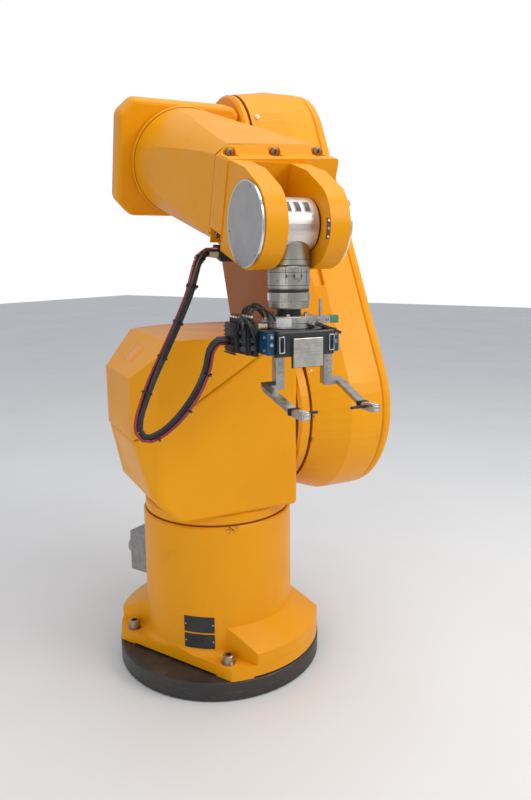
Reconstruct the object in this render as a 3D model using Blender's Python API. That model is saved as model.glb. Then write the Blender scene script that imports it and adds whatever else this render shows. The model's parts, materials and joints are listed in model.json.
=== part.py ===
"""Six-axis industrial robot arm on a round pedestal plate, with a two-finger gripper.

Every link is modelled in its own frame, whose origin lies on the link's joint axis, and hangs
from an empty. The chain of empties sets the pose. Lengths are metres, angles are degrees.
"""
import math

import bmesh
import bpy
from mathutils import Matrix, Vector

# Fits and clearances
SEAT_GAP = 0.0003
RUNNING_GAP = 0.0005
FORK_CLEARANCE = 0.002
OVERCUT = 0.010

# Pose of the arm
BASE_TURN = -30.9
ARM_LEAN = 22.8
FOREARM_DROP = 17.3

# Pedestal, foot and column
PLATE_RADIUS = 0.242
PLATE_HEIGHT = 0.045
PLATE_CHAMFER = 0.003
FOOT_RADIUS = 0.240
FOOT_HALF_WIDTH = 0.176
FOOT_HEIGHT = 0.055
SKIRT_HEIGHT = 0.040
PAD_HEIGHT = 0.024
BOLT_OFFSET = 0.145
PAD_REACH = 0.023
COLUMN_RADIUS = 0.174
COLUMN_FOOT_RADIUS = 0.178
COLUMN_TOP = 0.374

# Connector box on the back of the column
BOX_WIDTH = 0.125
BOX_HEIGHT = 0.105
BOX_BASE = 0.165
BOX_REACH = 0.056
SOCKET_RADIUS = 0.019
SOCKET_LENGTH = 0.024
SOCKET_SPACING = 0.056
SOCKET_RECESS = 0.0035

# Shoulder
AXIS_HEIGHT = 0.55
SWIVEL_HEIGHT = 0.026
SWIVEL_RADIUS = 0.169
SHOULDER_HALF_DEPTH = 0.174
SHOULDER_RISE = 0.190
SHOULDER_LEFT = 0.235
SHOULDER_RIGHT = 0.125
SHOULDER_TOP_CHAMFER = 0.075
SHOULDER_RIGHT_CHAMFER = 0.030
SHOULDER_WAIST = 0.150
SHOULDER_BELLY = 0.205
SHOULDER_BELLY_RISE = 0.055
SHOULDER_SIDE_DROP = 0.010
SHOULDER_FRONT_CREASE = 0.190
SHOULDER_FRONT_RECESS = 0.054
SHOULDER_BACK_CREASE = 0.080
SHOULDER_BACK_RECESS = 0.114
SHOULDER_EDGE = 0.010
SEAM_ANGLE = 31.4
SEAM_RISE = 0.128
HUB_RADIUS = 0.183
HUB_CHAMFER = 0.006

# Lower arm
UPPER_LENGTH = 0.650
ARM_INNER = 0.156
ARM_OUTER = 0.351
ARM_FOOT_RADIUS = 0.214
ARM_HEAD_RADIUS = 0.164
ARM_FOOT_TAPER = 0.029
ARM_HEAD_TAPER = 0.012
ARM_TAPER_DEPTH = 0.084
ARM_EDGE = 0.022
ARM_COVER_DEPTH = 0.030
ARM_COVER_STEP = 0.001
ARM_BAND_WIDTH = 0.030
ARM_BAND_DEPTH = 0.008
ARM_BAND_OFFSET = 0.052

# Elbow
ELBOW_HUB_RADIUS = 0.150
ELBOW_LEFT = 0.157
ELBOW_RIGHT = 0.134
ELBOW_FRONT = 0.085
ELBOW_BACK = 0.165
ELBOW_HALF_HEIGHT = 0.131
ELBOW_RIM = 0.050
ELBOW_BACK_INSET = 0.060
ELBOW_BACK_DROP = 0.028
ELBOW_EDGE = 0.010
ELBOW_CORNER = 0.034
REAR_COVER_DEPTH = 0.010
REAR_COVER_INSET = 0.030

# Forearm
FOREARM_LENGTH = 0.650
RING_RADIUS = 0.127
RING_DEPTH = 0.014
SHELL_START_RADIUS = 0.123
FORK_REACH = 0.165
FORK_HALF_WIDTH = 0.080
FORK_HALF_HEIGHT = 0.080
FORK_INNER = 0.040
FORK_ROOT = 0.085
FORK_GAP_LEAD = 0.020
EAR_RADIUS = 0.077
EAR_CAP_RADIUS = 0.073
EAR_CAP_DEPTH = 0.005

# Wrist
BARREL_RADIUS = 0.047
BARREL_CHAMFER = 0.003
TRUNNION_RADIUS = 0.030
TUBE_RADIUS = 0.034
TUBE_END = 0.068
CUFF_RADIUS = 0.0375
FLANGE_REACH = 0.110

# Tool flange and changer
KNURL_RADIUS = 0.0375
KNURL_HEIGHT = 0.034
NECK_RADIUS = 0.022
NECK_HEIGHT = 0.012
CHANGER_RADIUS = 0.048
CHANGER_HEIGHT = 0.022
BRACKET_LENGTH = 0.052
BRACKET_HEIGHT = 0.014
BRACKET_DEPTH = 0.016
TERMINAL_LENGTH = 0.018
ROD_RADIUS = 0.003
ROD_LENGTH = 0.030

# Gripper
GRIPPER_FRONT = 0.068
GRIPPER_BACK = 0.042
GRIPPER_HALF_WIDTH = 0.056
GRIPPER_HEIGHT = 0.044
CAP_LENGTH = 0.015
CAP_HEIGHT = 0.038
LABEL_WIDTH = 0.058
LABEL_DROP = 0.018
LABEL_DEPTH = 0.006
MANIFOLD_LENGTH = 0.045
MANIFOLD_HEIGHT = 0.060
MANIFOLD_DEPTH = 0.050

# Fingers
JAW_OFFSET = 0.048
JAW_FRONT = 0.052
JAW_WIDTH = 0.016
JAW_DROP = 0.046
FINGER_THICKNESS = 0.008
FINGER_JOG = 0.030
FINGER_REACH = 0.100
FINGER_FALL = 0.030
TIP_LENGTH = 0.032
TIP_SIZE = 0.015
PIN_RADIUS = 0.0025
PIN_LENGTH = 0.026

# Hose
HOSE_RADIUS = 0.0055
HOSE_STEP = 0.022
CLAMP_LENGTH = 0.044
CLAMP_WIDTH = 0.040
CLAMP_HEIGHT = 0.020
CLAMP_BACK = 0.133
CLAMP_SIDE = 0.055
# Route of the hose in the wrist frame, from the clamp under the fork to the gripper's manifold
HOSE_ROUTE = [
    (-0.154, -0.0753, -0.0465), (-0.154, -0.093, -0.0465), (-0.139, -0.115, -0.061), (-0.115, -0.134, -0.089),
    (-0.096, -0.151, -0.120), (-0.089, -0.173, -0.162), (-0.084, -0.201, -0.214), (-0.079, -0.229, -0.264),
    (-0.074, -0.251, -0.310), (-0.069, -0.264, -0.342), (-0.064, -0.264, -0.362), (-0.059, -0.249, -0.369),
    (-0.054, -0.222, -0.357), (-0.049, -0.193, -0.331), (-0.042, -0.166, -0.293), (-0.034, -0.149, -0.250),
    (-0.019, -0.147, -0.213), (-0.010, -0.134, -0.195), (-0.010, -0.1166, -0.195),
]

# Worked out from the sizes above
FOOT_BASE = PLATE_HEIGHT + SEAT_GAP
AXIS_Z = PLATE_HEIGHT + AXIS_HEIGHT
SHOULDER_BASE = COLUMN_TOP + RUNNING_GAP + SWIVEL_HEIGHT + SEAT_GAP
SHOULDER_TOP = AXIS_Z + SHOULDER_RISE
SHELL_END = FOREARM_LENGTH - FORK_REACH
FLANGE_BASE = -FLANGE_REACH - RUNNING_GAP
NECK_TOP = FLANGE_BASE - KNURL_HEIGHT - SEAT_GAP
CHANGER_TOP = NECK_TOP - NECK_HEIGHT - SEAT_GAP
GRIPPER_TOP = CHANGER_TOP - CHANGER_HEIGHT - SEAT_GAP
GRIPPER_BASE = GRIPPER_TOP - GRIPPER_HEIGHT

FULL_TURN = 2.0 * math.pi
ALONG_Y = Matrix.Rotation(math.radians(-90.0), 4, "X")
ALONG_X = Matrix.Rotation(math.radians(90.0), 4, "Y")


def clear_scene():
    for item in list(bpy.data.objects):
        bpy.data.objects.remove(item, do_unlink=True)


def material(name, colour, roughness, metallic=0.0):
    made = bpy.data.materials.new(name)
    made.use_nodes = True
    shader = made.node_tree.nodes["Principled BSDF"]
    shader.inputs["Base Color"].default_value = (*colour, 1.0)
    shader.inputs["Roughness"].default_value = roughness
    shader.inputs["Metallic"].default_value = metallic
    return made


def paint(name):
    return material(name, (0.86, 0.42, 0.02), 0.38)


def steel(name):
    return material(name, (0.62, 0.62, 0.60), 0.32, 1.0)


def black(name):
    return material(name, (0.02, 0.02, 0.022), 0.5)


def link(name, parent, matrix):
    """An empty on a joint axis that carries the pieces of one link."""
    empty = bpy.data.objects.new(name, None)
    bpy.context.collection.objects.link(empty)
    empty.parent = parent
    empty.matrix_local = matrix
    return empty


def body(name, bm, parent, finish=None, place=None, smooth=True):
    """Turn a bmesh into a named object in its link's frame."""
    if place is not None:
        bmesh.ops.transform(bm, matrix=place, verts=bm.verts)
    bmesh.ops.recalc_face_normals(bm, faces=bm.faces)
    mesh = bpy.data.meshes.new(name)
    bm.to_mesh(mesh)
    bm.free()
    if smooth:
        mesh.shade_smooth()
        mesh.set_sharp_from_angle(angle=math.radians(35.0))
    made = bpy.data.objects.new(name, mesh)
    bpy.context.collection.objects.link(made)
    made.parent = parent
    if finish is not None:
        mesh.materials.append(finish)
    return made


def helper(name, bm, parent, place=None):
    """A shape that only a Boolean reads, hidden from the render."""
    made = body(name, bm, parent, None, place, smooth=False)
    made.hide_render = True
    made.display_type = "WIRE"
    return made


def combine(target, other, operation):
    modifier = target.modifiers.new(other.name, "BOOLEAN")
    modifier.operation = operation
    modifier.solver = "EXACT"
    modifier.object = other


def soften(target, width, segments=2, angle=35.0):
    modifier = target.modifiers.new("soft_edges", "BEVEL")
    modifier.width = width
    modifier.segments = segments
    modifier.limit_method = "ANGLE"
    modifier.angle_limit = math.radians(angle)


def arc(centre, radius, start, end, steps):
    """Points on an arc in a plane, from one angle to another."""
    points = []
    for i in range(steps + 1):
        angle = math.radians(start + (end - start) * i / steps)
        points.append((centre[0] + radius * math.cos(angle), centre[1] + radius * math.sin(angle)))
    return points


def turned(profile, steps=48, closed=False):
    """Revolve (radius, height) points about +Z into a closed body."""
    bm = bmesh.new()
    verts = [bm.verts.new((radius, 0.0, height)) for radius, height in profile]
    edges = [bm.edges.new(pair) for pair in zip(verts, verts[1:])]
    if closed:
        edges.append(bm.edges.new((verts[-1], verts[0])))
    bmesh.ops.spin(bm, geom=verts + edges, axis=(0, 0, 1), cent=(0, 0, 0),
                   steps=steps, angle=FULL_TURN, use_merge=True)
    bmesh.ops.remove_doubles(bm, verts=bm.verts, dist=0.00001)
    bmesh.ops.recalc_face_normals(bm, faces=bm.faces)
    return bm


def drum(radius, low, high, chamfer=0.0, steps=48):
    """A turned disc between two heights, with a chamfer on both rims."""
    profile = [(0.0, low), (radius - chamfer, low)]
    if chamfer > 0.0:
        profile += [(radius, low + chamfer), (radius, high - chamfer)]
    profile += [(radius - chamfer, high), (0.0, high)]
    return turned(profile, steps)


def prism(outline, start, end, plane="XZ"):
    """Extrude a flat outline between two stations along the axis across its plane."""
    spots = {"XY": (0, 1, 2), "XZ": (0, 2, 1), "YZ": (1, 2, 0)}[plane]

    def spot(a, b, c):
        point = [0.0, 0.0, 0.0]
        for axis, value in zip(spots, (a, b, c)):
            point[axis] = value
        return Vector(point)

    bm = bmesh.new()
    face = bm.faces.new([bm.verts.new(spot(a, b, start)) for a, b in outline])
    grown = bmesh.ops.extrude_face_region(bm, geom=[face])
    verts = [item for item in grown["geom"] if isinstance(item, bmesh.types.BMVert)]
    bmesh.ops.translate(bm, vec=spot(0.0, 0.0, end - start), verts=verts)
    bmesh.ops.recalc_face_normals(bm, faces=bm.faces)
    return bm


def block(low, high):
    """A box between two corners."""
    outline = [(low[0], low[1]), (high[0], low[1]), (high[0], high[1]), (low[0], high[1])]
    return prism(outline, low[2], high[2], "XY")


def loft(sections):
    """Join closed rings of equally many points, with both ends capped."""
    bm = bmesh.new()
    rings = [[bm.verts.new(point) for point in section] for section in sections]
    count = len(rings[0])
    for near, far in zip(rings, rings[1:]):
        for i in range(count):
            j = (i + 1) % count
            bm.faces.new((near[i], near[j], far[j], far[i]))
    bm.faces.new(rings[0])
    bm.faces.new(rings[-1])
    bmesh.ops.recalc_face_normals(bm, faces=bm.faces)
    return bm


def make_links():
    """The chain of joint frames, from the swivel to the tool."""
    base = link("frame_base", None, Matrix.Identity(4))
    shoulder = link("frame_shoulder", base, Matrix.Rotation(math.radians(BASE_TURN), 4, "Z"))
    lean = Matrix.Rotation(math.radians(-ARM_LEAN), 4, "Y")
    lower = link("frame_lower_arm", shoulder, Matrix.Translation((0, 0, AXIS_Z)) @ lean)
    fold = Matrix.Rotation(math.radians(ARM_LEAN + FOREARM_DROP), 4, "Y")
    elbow = link("frame_elbow", lower, Matrix.Translation((0, 0, UPPER_LENGTH)) @ fold)
    forearm = link("frame_forearm", elbow, Matrix.Identity(4))
    level = Matrix.Rotation(math.radians(-FOREARM_DROP), 4, "Y")
    wrist = link("frame_wrist", forearm, Matrix.Translation((FOREARM_LENGTH, 0, 0)) @ level)
    tool = link("frame_tool", wrist, Matrix.Identity(4))
    return {"base": base, "shoulder": shoulder, "lower": lower, "elbow": elbow,
            "forearm": forearm, "wrist": wrist, "tool": tool}


def make_pedestal_plate(parent):
    body("pedestal_plate", drum(PLATE_RADIUS, 0.0, PLATE_HEIGHT, PLATE_CHAMFER, 64), parent,
         material("plate_black", (0.03, 0.03, 0.032), 0.55))


def make_base_casting(parent):
    """Column, conical skirt and flanged foot as one casting."""
    skirt_base = FOOT_BASE + FOOT_HEIGHT
    skirt_top = skirt_base + SKIRT_HEIGHT
    profile = [(0.0, FOOT_BASE), (FOOT_RADIUS, FOOT_BASE), (FOOT_RADIUS, skirt_base),
               (COLUMN_FOOT_RADIUS, skirt_top), (COLUMN_RADIUS, COLUMN_TOP - 0.004),
               (COLUMN_RADIUS - 0.004, COLUMN_TOP), (0.0, COLUMN_TOP)]
    casting = body("base_casting", turned(profile, 64), parent, paint("base_paint"))
    reach = 2.0 * FOOT_RADIUS
    for side in (-1, 1):
        edge = sorted((side * FOOT_HALF_WIDTH, side * reach))
        slab = block((-reach, edge[0], 0.0), (reach, edge[1], skirt_top + 0.01))
        combine(casting, helper("cut_side_%d" % side, slab, parent), "DIFFERENCE")
    pad_top = FOOT_BASE + PAD_HEIGHT
    near = BOLT_OFFSET - PAD_REACH
    for end in (-1, 1):
        for side in (-1, 1):
            x_range = sorted((end * near, end * reach))
            y_range = sorted((side * near, side * reach))
            pocket = block((x_range[0], y_range[0], pad_top), (x_range[1], y_range[1], skirt_top + 0.02))
            combine(casting, helper("cut_pad_%d_%d" % (end, side), pocket, parent), "DIFFERENCE")


def make_connector_box(parent):
    """Sheet-metal box on the back of the column, cut to the column's round."""
    back = -(COLUMN_FOOT_RADIUS + BOX_REACH)
    half = BOX_WIDTH / 2.0
    shell = block((back, -half, BOX_BASE), (0.0, half, BOX_BASE + BOX_HEIGHT))
    box = body("connector_box", shell, parent, material("box_grey", (0.45, 0.46, 0.47), 0.45, 0.6))
    round_cut = drum(COLUMN_FOOT_RADIUS + SEAT_GAP, 0.0, COLUMN_TOP, 0.0, 64)
    combine(box, helper("cut_column_round", round_cut, parent), "DIFFERENCE")
    soften(box, 0.003, 2)
    middle = BOX_BASE + BOX_HEIGHT / 2.0
    for i, name in enumerate(("power_socket", "signal_socket")):
        place = Matrix.Translation((back - SEAT_GAP, (i - 0.5) * SOCKET_SPACING, middle)) @ \
            Matrix.Rotation(math.radians(-90.0), 4, "Y")
        profile = [(0.0, 0.0), (SOCKET_RADIUS, 0.0), (SOCKET_RADIUS, 0.004), (SOCKET_RADIUS - 0.003, 0.006),
                   (SOCKET_RADIUS - 0.003, SOCKET_LENGTH), (SOCKET_RADIUS - 0.006, SOCKET_LENGTH),
                   (SOCKET_RADIUS - 0.006, SOCKET_LENGTH - SOCKET_RECESS), (0.0, SOCKET_LENGTH - SOCKET_RECESS)]
        body(name, turned(profile, 32), parent, steel(name + "_steel"), place)


def shoulder_outline():
    """Front outline of the shoulder as (sideways, height) points."""
    left = -SHOULDER_LEFT
    right = SHOULDER_RIGHT
    return [(left + SHOULDER_TOP_CHAMFER, SHOULDER_TOP), (right - SHOULDER_RIGHT_CHAMFER, SHOULDER_TOP),
            (right, SHOULDER_TOP - SHOULDER_RIGHT_CHAMFER), (right, SHOULDER_BASE), (-SHOULDER_WAIST, SHOULDER_BASE),
            (-SHOULDER_BELLY, SHOULDER_BASE + SHOULDER_BELLY_RISE), (left, AXIS_Z - SHOULDER_SIDE_DROP),
            (left, SHOULDER_TOP - SHOULDER_TOP_CHAMFER)]


def shoulder_plan():
    """Plan outline of the shoulder as (forward, sideways) points, a little wider than the front outline."""
    depth = SHOULDER_HALF_DEPTH
    left = -SHOULDER_LEFT - OVERCUT
    right = SHOULDER_RIGHT + OVERCUT
    return [(depth, right), (-depth, right), (-depth, -SHOULDER_BACK_CREASE), (SHOULDER_BACK_RECESS - depth, left),
            (depth - SHOULDER_FRONT_RECESS, left), (depth, -SHOULDER_FRONT_CREASE)]


def seam_block(side):
    """A half-space block on one side of the sloping seam plane of the shoulder."""
    size = 1.0
    gap = SEAT_GAP / 2.0
    low, high = (gap, size) if side > 0 else (-size, -gap)
    tilt = Matrix.Rotation(math.radians(SEAM_ANGLE), 4, "X")
    place = Matrix.Translation((0.0, 0.0, AXIS_Z + SEAM_RISE)) @ tilt
    bm = block((-size, -size, low), (size, size, high))
    bmesh.ops.transform(bm, matrix=place, verts=bm.verts)
    return bm


def make_shoulder(parent):
    swivel = drum(SWIVEL_RADIUS, COLUMN_TOP + RUNNING_GAP,
                  COLUMN_TOP + RUNNING_GAP + SWIVEL_HEIGHT, 0.004, 64)
    body("swivel_ring", swivel, parent, paint("swivel_paint"))
    for name, side in (("shoulder_casting", -1), ("shoulder_cover", 1)):
        outline = prism(shoulder_outline(), -SHOULDER_HALF_DEPTH - OVERCUT, SHOULDER_HALF_DEPTH + OVERCUT, "YZ")
        piece = body(name, outline, parent, paint(name + "_paint"), smooth=True)
        plan = prism(shoulder_plan(), 0.0, 1.0, "XY")
        combine(piece, helper(name + "_plan", plan, parent), "INTERSECT")
        combine(piece, helper(name + "_half", seam_block(side), parent), "INTERSECT")
        soften(piece, SHOULDER_EDGE, 3)
    near = SHOULDER_RIGHT + SEAT_GAP
    hub = drum(HUB_RADIUS, near, ARM_INNER - RUNNING_GAP, HUB_CHAMFER, 64)
    body("shoulder_hub", hub, parent, paint("shoulder_hub_paint"), Matrix.Translation((0, 0, AXIS_Z)) @ ALONG_Y)


def arm_outline(foot, head):
    """Side outline of the lower arm: two round ends and their common tangents."""
    slope = math.degrees(math.asin((foot - head) / UPPER_LENGTH))
    points = arc((0.0, 0.0), foot, 180.0 - slope, 360.0 + slope, 28)
    points += arc((0.0, UPPER_LENGTH), head, slope, 180.0 - slope, 20)
    return points


def make_lower_arm(parent):
    """Casting that widens away from the shoulder, with a flat cover on its outer side."""
    outer = ARM_OUTER - ARM_COVER_DEPTH
    narrow = arm_outline(ARM_FOOT_RADIUS - ARM_FOOT_TAPER, ARM_HEAD_RADIUS - ARM_HEAD_TAPER)
    full = arm_outline(ARM_FOOT_RADIUS, ARM_HEAD_RADIUS)
    stations = ((ARM_INNER, narrow), (ARM_INNER + ARM_TAPER_DEPTH, full), (outer - SEAT_GAP, full))
    shape = loft([[(x, y, z) for x, z in outline] for y, outline in stations])
    casting = body("lower_arm_casting", shape, parent, paint("lower_arm_paint"))
    low = ARM_INNER + ARM_BAND_OFFSET
    channel = block((0.0, low, ARM_FOOT_RADIUS), (1.0, low + ARM_BAND_WIDTH, UPPER_LENGTH - ARM_HEAD_RADIUS))
    lean = math.asin((ARM_FOOT_RADIUS - ARM_HEAD_RADIUS) / UPPER_LENGTH)
    place = Matrix.Rotation(-lean, 4, "Y") @ Matrix.Translation((ARM_FOOT_RADIUS - ARM_BAND_DEPTH, 0.0, 0.0))
    combine(casting, helper("cut_arm_band", channel, parent, place), "DIFFERENCE")
    soften(casting, 0.006, 2)
    rim = arm_outline(ARM_FOOT_RADIUS - ARM_COVER_STEP, ARM_HEAD_RADIUS - ARM_COVER_STEP)
    cover = body("lower_arm_cover", prism(rim, outer, ARM_OUTER, "XZ"), parent, paint("arm_cover_paint"))
    soften(cover, ARM_EDGE, 3, 60.0)


def elbow_section(station, share):
    """One ring of the elbow housing: full at share 0, drawn in at the back at share 1."""
    left = -ELBOW_LEFT + ELBOW_BACK_INSET * share
    half = ELBOW_HALF_HEIGHT - ELBOW_BACK_DROP * share
    corner = ELBOW_CORNER
    right = ELBOW_RIGHT
    edge = 0.5 * corner
    outline = [(left + corner, half), (right - edge, half), (right, half - edge), (right, edge - half),
               (right - edge, -half), (left + corner, -half), (left, corner - half), (left, half - corner)]
    return [(station, y, z) for y, z in outline]


def make_elbow(parent):
    """Housing with a full rim in front and a tapered back, its hub, rear cover and bearing ring."""
    sections = [elbow_section(-ELBOW_BACK, 1.0), elbow_section(ELBOW_FRONT - ELBOW_RIM, 0.0),
                elbow_section(ELBOW_FRONT, 0.0)]
    housing = body("elbow_housing", loft(sections), parent, paint("elbow_paint"))
    soften(housing, ELBOW_EDGE, 3, 20.0)
    hub = drum(ELBOW_HUB_RADIUS, ELBOW_RIGHT + SEAT_GAP, ARM_INNER - RUNNING_GAP, HUB_CHAMFER, 56)
    body("elbow_hub", hub, parent, paint("elbow_hub_paint"), ALONG_Y)
    inset = REAR_COVER_INSET
    half = ELBOW_HALF_HEIGHT - ELBOW_BACK_DROP - inset
    back = block((-ELBOW_BACK - REAR_COVER_DEPTH, -ELBOW_LEFT + ELBOW_BACK_INSET + inset, -half),
                 (-ELBOW_BACK - SEAT_GAP, ELBOW_RIGHT - inset, half))
    cover = body("elbow_rear_cover", back, parent, paint("elbow_cover_paint"))
    soften(cover, 0.004, 2)
    ring = drum(RING_RADIUS, ELBOW_FRONT + SEAT_GAP, ELBOW_FRONT + RING_DEPTH, 0.003, 64)
    body("forearm_bearing_ring", ring, parent, paint("ring_paint"), ALONG_X)


def shell_section(station, share, count):
    """One ring of the forearm loft: a circle at share 0, a rounded rectangle at share 1."""
    half_w = SHELL_START_RADIUS + (FORK_HALF_WIDTH - SHELL_START_RADIUS) * share
    half_h = SHELL_START_RADIUS + (FORK_HALF_HEIGHT - SHELL_START_RADIUS) * share
    power = 2.0 + 14.0 * share ** 2.0
    ring = []
    for i in range(count):
        angle = FULL_TURN * (i + 0.5) / count
        c = math.cos(angle)
        s = math.sin(angle)
        y = half_w * math.copysign(abs(c) ** (2.0 / power), c)
        z = half_h * math.copysign(abs(s) ** (2.0 / power), s)
        ring.append((station, y, z))
    return ring


def make_forearm(parent):
    """The cast shell runs from a round root to the flat-sided fork joint."""
    start = ELBOW_FRONT + RING_DEPTH + RUNNING_GAP
    sections = []
    steps = 10
    for i in range(steps + 1):
        share = i / steps
        sections.append(shell_section(start + (SHELL_END - start) * share, share, 56))
    shell = body("forearm_shell", loft(sections), parent, paint("forearm_paint"))
    soften(shell, 0.004, 2, 50.0)


def make_fork(parent):
    root = SHELL_END + SEAT_GAP
    half = FORK_HALF_HEIGHT
    web = SHELL_END + FORK_ROOT
    outline = [(root, -half), (web, -half)]
    outline += arc((FOREARM_LENGTH, 0.0), EAR_RADIUS, -90.0, 90.0, 24)
    outline += [(web, half), (root, half)]
    fork = body("wrist_fork", prism(outline, -FORK_HALF_WIDTH, FORK_HALF_WIDTH, "XZ"), parent,
                paint("fork_paint"))
    gap = block((web - FORK_GAP_LEAD, -FORK_INNER, -1.0), (1.0, FORK_INNER, 1.0))
    combine(fork, helper("cut_fork_gap", gap, parent), "DIFFERENCE")
    soften(fork, 0.004, 2)
    for name, side in (("ear_disc_left", -1), ("ear_disc_right", 1)):
        near = FORK_HALF_WIDTH + SEAT_GAP
        disc = drum(EAR_CAP_RADIUS, near, near + EAR_CAP_DEPTH, 0.0012, 56)
        turn = ALONG_Y if side > 0 else Matrix.Rotation(math.radians(90.0), 4, "X")
        body(name, disc, parent, steel(name + "_steel"), Matrix.Translation((FOREARM_LENGTH, 0, 0)) @ turn)


def make_hose_clamp(parent):
    """Clamp block on the flat underside of the fork."""
    top = -FORK_HALF_HEIGHT - SEAT_GAP
    half = CLAMP_LENGTH / 2.0
    station = FOREARM_LENGTH - CLAMP_BACK
    near = -CLAMP_SIDE - CLAMP_WIDTH / 2.0
    clamp = block((station - half, near, top - CLAMP_HEIGHT), (station + half, near + CLAMP_WIDTH, top))
    body("hose_clamp", clamp, parent, black("clamp_black"))


def smooth_route(points, step):
    """Points at an even step along a Catmull-Rom curve, with a straight lead at both ends."""
    path = [Vector(point) for point in points]
    dense = []
    for a, b, c, d in zip(path, path[1:], path[2:], path[3:]):
        for i in range(12):
            t = i / 12.0
            dense.append(0.5 * (2.0 * b + (c - a) * t + (2.0 * a - 5.0 * b + 4.0 * c - d) * t ** 2
                                + (3.0 * b - a - 3.0 * c + d) * t ** 3))
    dense.append(path[-2])
    total = sum((q - p).length for p, q in zip(dense, dense[1:]))
    spacing = total / round(total / step)
    even = [dense[0]]
    walked = 0.0
    for p, q in zip(dense, dense[1:]):
        walked += (q - p).length
        if walked >= spacing * (len(even) - 0.1):
            even.append(q)
    even[-1] = dense[-1]
    return [path[0]] + even + [path[-1]]


def make_hose(parent):
    """The bundle of hoses to the gripper as one plain tube."""
    curve = bpy.data.curves.new("gripper_hose", "CURVE")
    curve.dimensions = "3D"
    curve.bevel_depth = HOSE_RADIUS
    curve.bevel_resolution = 2
    curve.use_fill_caps = True
    points = smooth_route(HOSE_ROUTE, HOSE_STEP)
    spline = curve.splines.new("POLY")
    spline.points.add(len(points) - 1)
    for target, point in zip(spline.points, points):
        target.co = (*point, 1.0)
    curve.materials.append(black("hose_black"))
    hose = bpy.data.objects.new("gripper_hose", curve)
    bpy.context.collection.objects.link(hose)
    hose.parent = parent


def make_wrist(parent):
    half = FORK_INNER - FORK_CLEARANCE
    boss = FORK_INNER - SEAT_GAP
    rim = BARREL_RADIUS - BARREL_CHAMFER
    barrel = turned([(0.0, -boss), (TRUNNION_RADIUS, -boss), (TRUNNION_RADIUS, -half), (rim, -half),
                     (BARREL_RADIUS, BARREL_CHAMFER - half), (BARREL_RADIUS, half - BARREL_CHAMFER), (rim, half),
                     (TRUNNION_RADIUS, half), (TRUNNION_RADIUS, boss), (0.0, boss)], 48)
    piece = body("wrist_barrel", barrel, parent, steel("barrel_steel"), ALONG_Y)
    tube = drum(TUBE_RADIUS, -TUBE_END, 0.0, 0.0, 40)
    combine(piece, helper("add_wrist_tube", tube, parent), "UNION")
    cuff = turned([(0.0, -FLANGE_REACH), (CUFF_RADIUS - 0.001, -FLANGE_REACH), (CUFF_RADIUS, -FLANGE_REACH + 0.001),
                   (CUFF_RADIUS, -TUBE_END - 0.004), (CUFF_RADIUS - 0.003, -TUBE_END - SEAT_GAP),
                   (0.0, -TUBE_END - SEAT_GAP)], 48)
    body("wrist_cuff", cuff, parent, steel("cuff_steel"))


def make_flange(parent):
    top = FLANGE_BASE
    low = top - KNURL_HEIGHT
    radius = KNURL_RADIUS
    ring = turned([(0.0, low), (radius - 0.002, low), (radius - 0.001, low + 0.002), (radius - 0.001, low + 0.012),
                   (radius, low + 0.013), (radius, top - 0.006), (radius - 0.002, top - 0.005),
                   (radius - 0.002, top), (0.0, top)], 48)
    body("tool_flange", ring, parent, steel("flange_steel"))
    body("flange_neck", drum(NECK_RADIUS, NECK_TOP - NECK_HEIGHT, NECK_TOP, 0.0, 36), parent, black("neck_black"))
    body("changer_plate", drum(CHANGER_RADIUS, CHANGER_TOP - CHANGER_HEIGHT, CHANGER_TOP, 0.0015, 48), parent,
         steel("changer_steel"))


def make_bracket(parent):
    """Small bracket on the right of the changer plate, with a terminal block and a rod."""
    low = CHANGER_TOP - CHANGER_HEIGHT + 0.004
    near = CHANGER_RADIUS + SEAT_GAP
    far = near + BRACKET_LENGTH - TERMINAL_LENGTH
    bar = block((-BRACKET_DEPTH / 2, near, low), (BRACKET_DEPTH / 2, far, low + BRACKET_HEIGHT))
    body("changer_bracket", bar, parent, steel("bracket_steel"))
    tip = block((-BRACKET_DEPTH / 2, far + SEAT_GAP, low), (BRACKET_DEPTH / 2, far + TERMINAL_LENGTH, low + BRACKET_HEIGHT))
    body("terminal_block", tip, parent, material("terminal_green", (0.08, 0.28, 0.16), 0.45))
    top = low + BRACKET_HEIGHT + SEAT_GAP
    rod = drum(ROD_RADIUS, top, top + ROD_LENGTH, 0.0, 16)
    body("bracket_rod", rod, parent, steel("rod_steel"), Matrix.Translation((0, (near + far) / 2, 0)))


def make_gripper(parent):
    front = GRIPPER_FRONT
    half = GRIPPER_HALF_WIDTH
    housing = block((-GRIPPER_BACK, -half, GRIPPER_BASE), (front, half, GRIPPER_TOP))
    piece = body("gripper_body", housing, parent, black("gripper_black"))
    soften(piece, 0.003, 2)
    label_top = GRIPPER_TOP - 0.012
    label = block((front + SEAT_GAP, -LABEL_WIDTH / 2, GRIPPER_BASE - LABEL_DROP),
                  (front + LABEL_DEPTH, LABEL_WIDTH / 2, label_top))
    piece = body("gripper_front_plate", label, parent, steel("front_plate_nickel"))
    soften(piece, 0.001, 2)
    for name, side in (("end_cap_left", -1), ("end_cap_right", 1)):
        y_range = sorted((side * (half + SEAT_GAP), side * (half + CAP_LENGTH)))
        cap = block((-GRIPPER_BACK + 0.012, y_range[0], GRIPPER_BASE + 0.003),
                    (front - 0.010, y_range[1], GRIPPER_BASE + 0.003 + CAP_HEIGHT))
        piece = body(name, cap, parent, material(name + "_blue", (0.03, 0.13, 0.28), 0.4))
        soften(piece, 0.002, 2)


def make_manifold(parent):
    """Block of hose fittings on the left end of the gripper."""
    near = -(GRIPPER_HALF_WIDTH + CAP_LENGTH + SEAT_GAP)
    top = GRIPPER_TOP + 0.014
    bm = block((-MANIFOLD_DEPTH / 2, near - MANIFOLD_LENGTH, top - MANIFOLD_HEIGHT), (MANIFOLD_DEPTH / 2, near, top))
    piece = body("hose_manifold", bm, parent, black("manifold_black"))
    soften(piece, 0.004, 2)


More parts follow.
